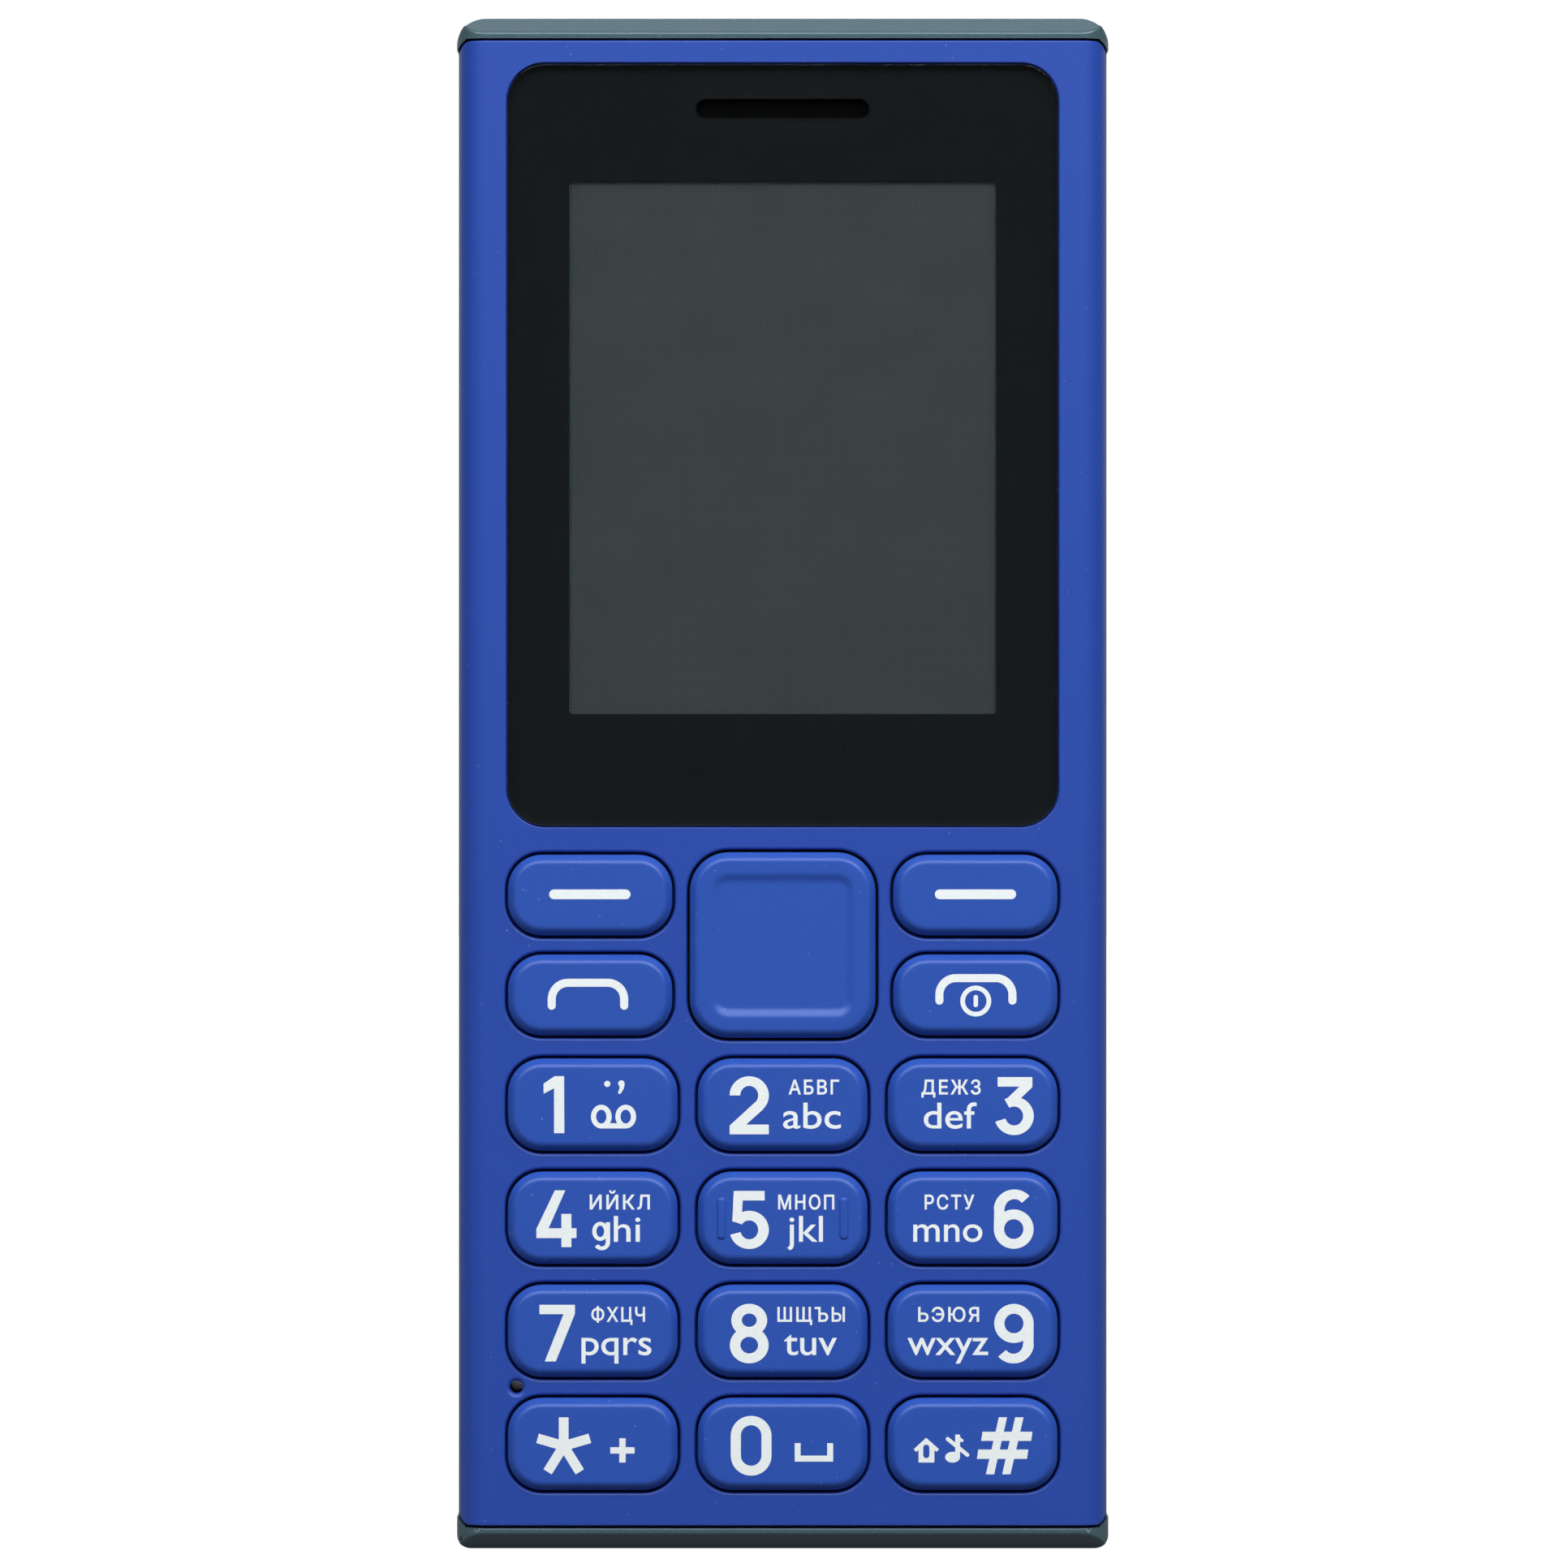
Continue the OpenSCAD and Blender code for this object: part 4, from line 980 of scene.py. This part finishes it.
@dataclass
class KeyCap:
    """A key with a rounded bevel all round, its printed legend and, on the middle key, two ribs."""

    node: str
    size: KeySize
    legend: Legend
    ribbed: bool = False
    corner: float = 2.55
    ink_low: float = 0.69
    ink_high: float = 0.715
    print_lift: float = 0.07
    rib_x: float = 4.58
    rib_size: Pair = (0.72, 3.2)
    rib_corner: float = 0.35
    profile: tuple[Pair, ...] = (
        (-0.35, -2.35), (-0.35, -1.85), (0.0, -1.85), (0.0, 0.03), (0.0, 0.056), (0.02, 0.132), (0.07, 0.219),
        (0.36, 0.541), (0.43, 0.600), (0.52, 0.652), (0.60, 0.681), (0.68, 0.695), (0.78, 0.70), (0.98, 0.70),
    )
    rib_profile: tuple[Pair, ...] = (
        (0.0, 0.69), (0.07, 0.785), (0.14, 0.83), (0.22, 0.846), (0.30, 0.85),
    )

    def build(self) -> None:
        """Builds the cap, the legend and the ribs."""
        place = middle(self.node)
        loops = carry(self.profile, self.size.value, self.corner, place)
        cap = make_piece(f"{self.node}_cap", loft(loops), self.node, KEY_PAINT)
        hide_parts(self.node)
        printed = place + [0.0, self.print_lift]
        shapes = [fuse(self.legend.ink, self.legend.cuts), *(line.shape() for line in self.legend.lines)]
        for number, (points, triangles) in enumerate(shapes):
            built = slab((points + printed, triangles), self.ink_low, self.ink_high)
            make_piece(f"{self.node}_print_{number}", built, self.node, WHITE_INK)
        for side, name in ((-1, "left"), (1, "right")) if self.ribbed else ():
            foot = place + [side * self.rib_x, 0.0]
            rib = loft(carry(self.rib_profile, self.rib_size, self.rib_corner, foot))
            make_piece(f"{self.node}_rib_{name}", rib, self.node, KEY_PAINT)


@dataclass
class NavKey:
    """The five-way key: a square cap with a bevel outside and a softly dished middle."""

    size: float = 13.9
    corner: float = 2.9
    floor_corner: float = 0.75
    rim: tuple[Pair, ...] = (
        (0.0, -2.5), (0.0, 0.03), (0.0, 0.056), (0.02, 0.132), (0.07, 0.219), (0.36, 0.541), (0.43, 0.600),
        (0.52, 0.652), (0.60, 0.681), (0.68, 0.695), (0.78, 0.70), (1.30, 0.70),
    )
    dish_insets: Pair = (1.45, 2.35)
    dish_depth: float = 0.25
    dish_steps: int = 12
    floor_margin: float = 0.3

    def build(self) -> None:
        """Builds the cap in place of its node."""
        square = (self.size, self.size)
        loops = carry(self.profile(), square, self.corner, middle("nav_key"), self.floor_corner)
        cap = make_piece("nav_key_cap", loft(loops), "nav_key", KEY_PAINT)
        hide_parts("nav_key")

    def profile(self) -> np.ndarray:
        """Gives insets and heights: the rim's steps, then half a cosine wave down to the dish's flat floor.

        Returns:
            Array of insets and heights, in millimetres.
        """
        turn = np.linspace(0, np.pi, self.dish_steps)
        inset = np.interp(turn, (0, np.pi), self.dish_insets)
        height = self.rim[-1][1] - self.dish_depth * (1 - np.cos(turn)) / 2
        floor = (inset[-1] + self.floor_margin, height[-1])
        return np.vstack([self.rim, np.column_stack([inset, height]), floor])


@dataclass(frozen=True)
class Marks:
    """The bold digits and signs of the number keys, in millimetres about each key's middle."""

    pen: Pair = (0.80, 0.72)
    stem: float = 0.76
    star_pen: float = 0.726
    star_hub: Pair = (-2.153, -0.153)
    # Length and bearing in degrees of each arm
    star_arms: tuple[Pair, ...] = (
        (2.143, 90.0), (2.038, 16.3), (2.038, 163.7), (2.276, -58.0), (2.276, -122.0),
    )
    plus_pen: float = 0.475
    plus_middle: Pair = (2.238, -0.481)
    plus_reach: float = 0.907
    reel_x: Pair = (0.659, 2.483)
    reel_z: float = -0.931

    def one(self) -> Legend:
        """Draws 1, and a dot, a comma and two joined tape reels beside it.

        Returns:
            The legend.
        """
        digit = np.array([
            (-3.660, 1.533), (-2.835, 2.091), (-2.122, 2.091), (-2.109, -2.172), (-2.872, -2.172),
            (-2.872, 1.191), (-3.660, 0.776),
        ])
        dots = [ellipse(1.105, 1.520, 0.23, 0.23), ellipse(2.16, 1.551, 0.236, 0.236)]
        comma = np.array([
            (2.408, 1.551), (2.346, 1.179), (2.129, 0.807), (1.974, 0.757), (1.912, 0.869), (2.036, 1.241),
            (2.005, 1.365),
        ])
        reels = [ellipse(x, self.reel_z, 0.776, 0.887) for x in self.reel_x]
        holes = [ellipse(x, self.reel_z, 0.385, 0.515) for x in self.reel_x]
        bar = np.array([(0.659, -1.818), (2.483, -1.818), (2.483, -1.427), (0.659, -1.427)])
        return Legend((digit, *dots, comma, *reels, bar), tuple(holes))

    def two(self) -> Legend:
        """Draws 2: an arc over a slanted leg and a foot."""
        leg = np.array([
            (-2.027, 0.180), (-3.965, -1.607), (-3.965, -2.253), (-1.038, -2.253), (-1.038, -1.528),
            (-2.732, -1.528), (-1.462, -0.385),
        ])
        return Legend((arc_band((-2.501, 0.654), 1.07, self.pen, 180, -45), leg))

    def three(self) -> Legend:
        """Draws 3: a flat bar and a slanted leg over an arc."""
        leg = np.array([
            (1.854, 2.019), (4.451, 2.019), (4.451, 1.274), (3.515, 0.370), (3.087, -0.124), (2.724, -0.256),
            (2.414, 0.285), (3.482, 1.313), (1.854, 1.313),
        ])
        return Legend((leg, arc_band((3.087, -0.882), 1.071, self.pen, 120, -163)))

    def four(self) -> Legend:
        """Draws 4, and the small g beside it, which has one bowl and an open tail, unlike the font's.

        Returns:
            The legend.
        """
        digit = np.array([
            (-2.815, 2.023), (-2.034, 2.023), (-3.283, -0.811), (-2.327, -0.811), (-2.327, 0.257),
            (-1.580, 0.257), (-1.580, -0.811), (-1.196, -0.811), (-1.196, -1.544), (-1.580, -1.544),
            (-1.580, -2.221), (-2.327, -2.221), (-2.327, -1.544), (-4.198, -1.544), (-4.198, -0.860),
        ])
        bowl, hole = ellipse(0.58, -1.04, 0.60, 0.71), ellipse(0.58, -1.04, 0.29, 0.43)
        stem = stroke((1.152, -0.36), (1.152, -1.88), 0.33, False)
        tail = arc_band((0.70, -1.86), 0.45, (0.33, 0.28), 0, -150)
        return Legend((digit, bowl, stem, tail), (hole,))

    def five(self) -> Legend:
        """Draws 5: a bar and a stem over an arc."""
        top = np.array([
            (-3.658, 1.981), (-1.348, 1.981), (-1.348, 1.269), (-2.988, 1.269), (-3.044, 0.292),
            (-2.904, -0.301), (-3.149, -0.476), (-3.763, -0.288),
        ])
        return Legend((top, arc_band((-2.500, -0.930), 1.068, self.pen, 145, -165.5)))

    def six(self) -> Legend:
        """Draws 6: a bowl, a stem up its left side and an arc over both.

        Returns:
            The legend.
        """
        bowl, hole = ellipse(3.059, -0.874, 1.487, 1.470), ellipse(3.059, -0.874, 0.723, 0.740)
        arc = arc_band((3.101, 0.606), 1.124, self.pen, 41, 180)
        stem = stroke((1.977, 0.606), (1.954, -0.874), self.stem, False)
        return Legend((bowl, arc, stem), (hole,))

    def seven(self) -> Legend:
        """Draws 7: a bar and a slanted leg."""
        digit = np.array([
            (-3.967, 1.936), (-1.315, 1.936), (-1.315, 1.259), (-2.746, -2.302), (-3.569, -2.302),
            (-2.166, 1.237), (-3.967, 1.237),
        ])
        return Legend((digit,))

    def eight(self) -> Legend:
        """Draws 8: a small bowl on a larger one."""
        bowls = ellipse(-2.5, 0.784, 1.340, 1.222), ellipse(-2.5, -1.080, 1.452, 1.361)
        return Legend(bowls, (ellipse(-2.5, 0.784, 0.558, 0.503), ellipse(-2.5, -1.080, 0.663, 0.621)))

    def nine(self) -> Legend:
        """Draws 9: a bowl, a stem down its right side and an arc under both.

        Returns:
            The legend.
        """
        bowl, hole = ellipse(3.073, 0.539, 1.472, 1.460), ellipse(3.073, 0.539, 0.712, 0.732)
        arc = arc_band((3.045, -0.975), 1.110, self.pen, 0, -140)
        stem = stroke((4.165, 0.539), (4.155, -0.975), self.stem, False)
        return Legend((bowl, arc, stem), (hole,))

    def star(self) -> Legend:
        """Draws five arms from a hub, and a plus beside them.

        Returns:
            The legend.
        """
        hub = np.array(self.star_hub)
        reach, bearing = np.transpose(self.star_arms)
        turn = np.radians(bearing)
        ends = hub + reach[:, None] * np.stack([np.cos(turn), np.sin(turn)], axis=-1)
        arms = strokes(np.tile(hub, (len(ends), 1)), ends, self.star_pen, SQUARE_CAP)
        x, z = self.plus_middle
        level = stroke((x - self.plus_reach, z), (x + self.plus_reach, z), self.plus_pen, False)
        upright = stroke((x, z - self.plus_reach), (x, z + self.plus_reach), self.plus_pen, False)
        return Legend((*arms, level, upright))

    def zero(self) -> Legend:
        """Draws 0, and an open box for a space beside it.

        Returns:
            The legend.
        """
        ring = round_rect(3.05, 4.46, 1.5) + [-2.357, -0.135]
        hole = round_rect(1.536, 3.037, 0.765) + [-2.357, -0.114]
        space = np.array([
            (0.900, 0.057), (1.340, 0.057), (1.340, -0.871), (3.329, -0.871), (3.329, 0.057), (3.776, 0.057),
            (3.776, -1.318), (0.900, -1.318),
        ])
        return Legend((ring, space), (hole,))

    def hash_sign(self) -> Legend:
        """Draws a hash, and an up arrow and a crossed-out note beside it.

        Returns:
            The legend.
        """
        bars = [np.array(corners) for corners in (
            [(0.728, 0.915), (4.462, 0.915), (4.358, 0.231), (0.616, 0.231)],
            [(0.407, -0.418), (4.148, -0.418), (4.043, -1.116), (0.302, -1.116)],
            [(1.943, 1.990), (2.557, 1.990), (1.593, -2.268), (0.972, -2.268)],
            [(3.164, 1.990), (3.792, 1.990), (2.815, -2.268), (2.194, -2.268)],
        )]
        arrow = np.array([
            (-3.495, 0.462), (-2.518, -0.397), (-2.714, -0.592), (-2.874, -0.467), (-2.874, -1.388),
            (-4.061, -1.388), (-4.061, -0.467), (-4.236, -0.592), (-4.424, -0.397),
        ])
        arrow_slit = stroke((-3.482, -0.278), (-3.482, -0.83), 0.46)
        head = ellipse(-1.513, -0.991, 0.558, 0.405)
        flag = np.array([
            (-1.318, 0.616), (-1.178, 0.713), (-0.675, 0.280), (-0.745, 0.148), (-0.955, 0.148),
        ])
        stem = np.array([(-1.318, -0.991), (-0.955, -0.991), (-0.955, 0.699), (-1.318, 0.699)])
        slash = stroke((-1.876, 0.371), (-0.410, -0.816), 0.293)
        return Legend((*bars, arrow, head, flag, stem, slash), (arrow_slit,))


@dataclass
class Keypad:
    """The sixteen printed keys and the five-way key."""

    thin: float = 0.60
    dash_half: float = 2.675
    dash_pen: float = 0.73
    ring_pen: float = 0.35
    ring_radius: float = 0.98
    ring_middle: Pair = (0.02, -0.50)
    tick_half: float = 0.29
    tick_pen: float = 0.33
    caps_height: float = 1.12
    caps_baselines: Triple = (0.72, 0.59, 0.66)
    caps_pen: float = 0.05
    caps_spacing: float = 1.2
    small_pen: float = 0.03
    small_height: float = 1.93
    small_baseline: float = -1.82

    def build(self) -> None:
        """Builds every key."""
        NavKey().build()
        for node, legend in self.side_legends().items():
            KeyCap(node, KeySize.SIDE, legend).build()
        for node, legend in self.number_legends().items():
            KeyCap(node, KeySize.NUMBER, legend, ribbed=node == "key_5").build()

    def letters(
        self, capitals: str, small: str, caps_x: Pair, small_x: Pair, baseline: float
    ) -> tuple[TextLine, TextLine]:
        """Sets a key's two lines of letters.

        Args:
            capitals: upper line.
            small: lower line.
            caps_x: middle and width of the upper line.
            small_x: middle and width of the lower line.
            baseline: baseline of the upper line.

        Returns:
            The two lines.
        """
        return (
            TextLine(capitals, *caps_x, baseline, self.caps_height, "Н", self.caps_pen, self.caps_spacing),
            TextLine(small, *small_x, self.small_baseline, self.small_height, "d", self.small_pen),
        )

    def handset(
        self, x: float, half: float, top: float, corner: float, foot: float
    ) -> tuple[np.ndarray, ...]:
        """Draws a handset as an arch of one pen: two legs, two round corners and a bar.

        Args:
            x: middle of the arch.
            half: half its span.
            top: height of its bar.
            corner: radius of its corners.
            foot: height of the legs' ends.

        Returns:
            Outlines of the strokes.
        """
        pen = (self.thin, self.thin)
        bend = top - corner
        return (
            stroke((x - half + corner, top), (x + half - corner, top), self.thin, rounded=False),
            arc_band((x - half + corner, bend), corner, pen, 90, 180),
            arc_band((x + half - corner, bend), corner, pen, 0, 90),
            stroke((x - half, bend), (x - half, foot), self.thin),
            stroke((x + half, bend), (x + half, foot), self.thin),
        )

    def side_legends(self) -> dict[str, Legend]:
        """Draws the marks of the soft keys, the call key and the end key.

        Returns:
            Legends by node.
        """
        dash = Legend((stroke((-self.dash_half, 0.0), (self.dash_half, 0.0), self.dash_pen),))
        pen = (self.ring_pen, self.ring_pen)
        ring = [arc_band(self.ring_middle, self.ring_radius, pen, a, a + 180) for a in (0, 180)]
        x, z = self.ring_middle
        tick = stroke((x, z + self.tick_half), (x, z - self.tick_half), self.tick_pen)
        hung_up = (*self.handset(0.03, 2.73, 1.213, 1.23, -0.471), *ring, tick)
        return {
            "soft_key_left": dash,
            "soft_key_right": dash,
            "call_key": Legend(self.handset(-0.14, 2.71, 0.866, 1.23, -0.848)),
            "end_key": Legend(hung_up),
        }

    def number_legends(self) -> dict[str, Legend]:
        """Sets the digits, signs and letters of the number keys.

        Returns:
            Legends by node.
        """
        marks = Marks()
        upper, centre, lower = self.caps_baselines
        digits = {
            "key_1": marks.one(), "key_2": marks.two(), "key_3": marks.three(), "key_4": marks.four(),
            "key_5": marks.five(), "key_6": marks.six(), "key_7": marks.seven(), "key_8": marks.eight(),
            "key_9": marks.nine(), "key_star": marks.star(), "key_0": marks.zero(),
            "key_hash": marks.hash_sign(),
        }
        lines = {
            "key_2": self.letters("АБВГ", "abc", (2.34, 3.77), (2.19, 4.32), upper),
            "key_3": self.letters("ДЕЖЗ", "def", (-1.63, 4.44), (-1.69, 3.95), upper),
            "key_4": self.letters("ИЙКЛ", "hi", (2.04, 4.50), (2.58, 1.98), centre),
            "key_5": self.letters("МНОП", "jkl", (1.76, 4.20), (1.67, 2.68), centre),
            "key_6": self.letters("РСТУ", "mno", (-1.75, 3.71), (-1.87, 5.17), centre),
            "key_7": self.letters("ФХЦЧ", "pqrs", (1.92, 4.01), (1.79, 5.23), lower),
            "key_8": self.letters("ШЩЪЫ", "tuv", (2.13, 5.05), (2.07, 3.95), lower),
            "key_9": self.letters("ЬЭЮЯ", "wxyz", (-1.81, 4.56), (-1.87, 6.02), lower),
        }
        return {node: replace(legend, lines=lines.get(node, ())) for node, legend in digits.items()}


# Inside


@dataclass
class Inside:
    """The parts that keep their solids: each takes the finish of its material slot."""

    def dress(self) -> None:
        """Dresses every CAD node by its slot in the record."""
        for part in frame["record"]["subparts"]:
            SLOT_FINISHES[part["material_slot"]].dress(frame["nodes"][part["node"]])
            log.info("%s: %s", part["node"], part["material_slot"])


# Studio


@dataclass
class Studio:
    """A pale floor, a wide soft lamp above and in front with one at each end, one behind, and the camera."""

    distance: float = 0.5
    focal_mm: float = 153.3
    sensor_mm: float = 36.0
    clip_start: float = 0.01
    aim_mm: Pair = (0.10, 57.44)
    lamp_y: float = -0.43
    lamp_z: float = 0.485
    lamp_x: float = 0.05
    lamp_size: Pair = (0.85, 0.30)
    lamp_watts: float = 4.6
    side_x: float = 0.36
    side_size: Pair = (0.26, 0.30)
    side_watts: Pair = (0.7, 0.8)
    rear_place: Triple = (0.0, 0.5, 0.5)
    rear_size: Pair = (0.40, 0.30)
    rear_watts: float = 4.0
    fill: float = 0.11
    room_back: float = 0.9
    room_glow: Pair = (0.06, 0.6)
    floor_size: float = 4.0
    floor_fade: Pair = (0.05, 0.4)
    floor_white: Pair = (0.75, 1.0)
    floor_tones: Pair = (0.12, 0.8)
    floor_mirrored: float = 0.2
    floor_glow: float = 1.25

    def build(self) -> None:
        """Builds the studio."""
        bpy.context.scene.view_settings.view_transform = "Standard"
        self.camera()
        self.lamp("lamp_front", (self.lamp_x, self.lamp_y, self.lamp_z), self.lamp_size, self.lamp_watts)
        for side, name, watts in zip((-1, 1), ("lamp_left", "lamp_right"), self.side_watts):
            self.lamp(name, (side * self.side_x, self.lamp_y, self.lamp_z), self.side_size, watts)
        self.lamp("lamp_rear", self.rear_place, self.rear_size, self.rear_watts)
        self.world()
        self.floor()

    def camera(self) -> None:
        """Sets the camera square to the face, at the photograph's distance."""
        data = bpy.data.cameras.new("camera")
        data.lens = self.focal_mm
        data.sensor_width = self.sensor_mm
        data.clip_start = self.clip_start
        holder = bpy.data.objects.new("camera", data)
        holder.location = (self.aim_mm[0] * MM, FACE.y - self.distance, self.aim_mm[1] * MM)
        holder.rotation_euler = (math.pi / 2, 0.0, 0.0)
        bpy.context.scene.collection.objects.link(holder)
        bpy.context.scene.camera = holder

    def lamp(self, name: str, place: Triple, size: Pair, watts: float) -> None:
        """Adds a soft lamp aimed at the middle of the phone.

        Args:
            name: name of the lamp.
            place: where it stands, in metres.
            size: its width and height, in metres.
            watts: its power.
        """
        data = bpy.data.lights.new(name, "AREA")
        data.shape = "RECTANGLE"
        data.size, data.size_y = size
        data.energy = watts
        holder = bpy.data.objects.new(name, data)
        holder.location = place
        aim = Vector((0.0, 0.0, self.aim_mm[1] * MM)) - Vector(place)
        holder.rotation_euler = aim.to_track_quat("-Z", "Y").to_euler()
        bpy.context.scene.collection.objects.link(holder)

    def world(self) -> None:
        """Makes the room: white to the camera, paler behind the phone than in front of it in reflections
        and through glass, and an even fill."""
        world = bpy.data.worlds.new("studio")
        world.use_nodes = True
        bpy.context.scene.world = world
        tree = world.node_tree
        tree.nodes.clear()
        path = add_node(tree, "ShaderNodeLightPath").outputs
        way = add_node(tree, "ShaderNodeTexCoord").outputs["Generated"]
        across = add_node(tree, "ShaderNodeSeparateXYZ", {0: way}).outputs["Y"]
        front, back = self.room_glow
        span = {"Value": across, "From Min": 0.0, "From Max": self.room_back, "To Min": front, "To Max": back}
        glow = add_node(tree, "ShaderNodeMapRange", span).outputs[0]
        fill = add_node(tree, "ShaderNodeBackground", {"Color": WHITE, "Strength": self.fill}).outputs[0]
        seen = add_node(tree, "ShaderNodeBackground", {"Color": WHITE, "Strength": 1.0}).outputs[0]
        mirrored = add_node(tree, "ShaderNodeBackground", {"Color": WHITE, "Strength": glow}).outputs[0]
        rays = {0: path["Is Glossy Ray"], 1: path["Is Transmission Ray"]}
        sharp = add_node(tree, "ShaderNodeMath", rays, operation="MAXIMUM").outputs[0]
        bounced = add_node(tree, "ShaderNodeMixShader", {0: sharp, 1: fill, 2: mirrored}).outputs[0]
        parts = {0: path["Is Camera Ray"], 1: bounced, 2: seen}
        whole = add_node(tree, "ShaderNodeMixShader", parts).outputs[0]
        add_node(tree, "ShaderNodeOutputWorld", {"Surface": whole})

    def floor(self) -> None:
        """Lays the floor: white to the camera but for the phone's shadow, dull where it lights the phone."""
        half = self.floor_size / 2
        mesh = bpy.data.meshes.new("floor")
        corners = [(-half, -half, 0.0), (half, -half, 0.0), (half, half, 0.0), (-half, half, 0.0)]
        mesh.from_pydata(corners, [], [(0, 1, 2, 3)])
        floor = bpy.data.objects.new("floor", mesh)
        bpy.context.scene.collection.objects.link(floor)
        paper = bpy.data.materials.new("matt_white_paper_sweep")
        paper.use_nodes = True
        tree = paper.node_tree
        tree.nodes.clear()
        path = add_node(tree, "ShaderNodeLightPath").outputs
        rays = {0: path["Is Glossy Ray"], 1: path["Is Transmission Ray"]}
        bounce = add_node(tree, "ShaderNodeMath", rays, operation="MAXIMUM").outputs[0]
        mirrored = {0: bounce, 1: self.floor_mirrored}
        dimmed = add_node(tree, "ShaderNodeMath", mirrored, operation="MULTIPLY").outputs[0]
        shown = {0: dimmed, 1: path["Is Camera Ray"]}
        seen = add_node(tree, "ShaderNodeMath", shown, operation="MAXIMUM").outputs[0]
        place = add_node(tree, "ShaderNodeTexCoord").outputs["Object"]
        away = add_node(tree, "ShaderNodeVectorMath", {0: place}, operation="LENGTH").outputs["Value"]
        (near, far), (shaded, open_white) = self.floor_fade, self.floor_white
        reach = {"Value": away, "From Min": near, "From Max": far, "To Min": shaded, "To Max": open_white}
        fade = add_node(tree, "ShaderNodeMapRange", reach).outputs[0]
        share = add_node(tree, "ShaderNodeMath", {0: seen, 1: fade}, operation="MULTIPLY").outputs[0]
        dull, pale = self.floor_tones
        tones = {"Value": path["Is Camera Ray"], "To Min": dull, "To Max": pale}
        tone = add_node(tree, "ShaderNodeMapRange", tones).outputs[0]
        lit = add_node(tree, "ShaderNodeBsdfDiffuse", {"Color": tone}).outputs[0]
        white = add_node(tree, "ShaderNodeEmission", {"Strength": self.floor_glow}).outputs[0]
        mixed = add_node(tree, "ShaderNodeMixShader", {0: share, 1: lit, 2: white}).outputs[0]
        add_node(tree, "ShaderNodeOutputMaterial", {"Surface": mixed})
        mesh.materials.append(paper)


def main() -> None:
    """Builds the studio and the phone, part by part."""
    logging.basicConfig(level=logging.INFO, format="%(message)s")
    Studio().build()
    Inside().dress()
    Shells().build()
    LensWindow().build()
    Keypad().build()


if __name__ == "__main__":
    main()
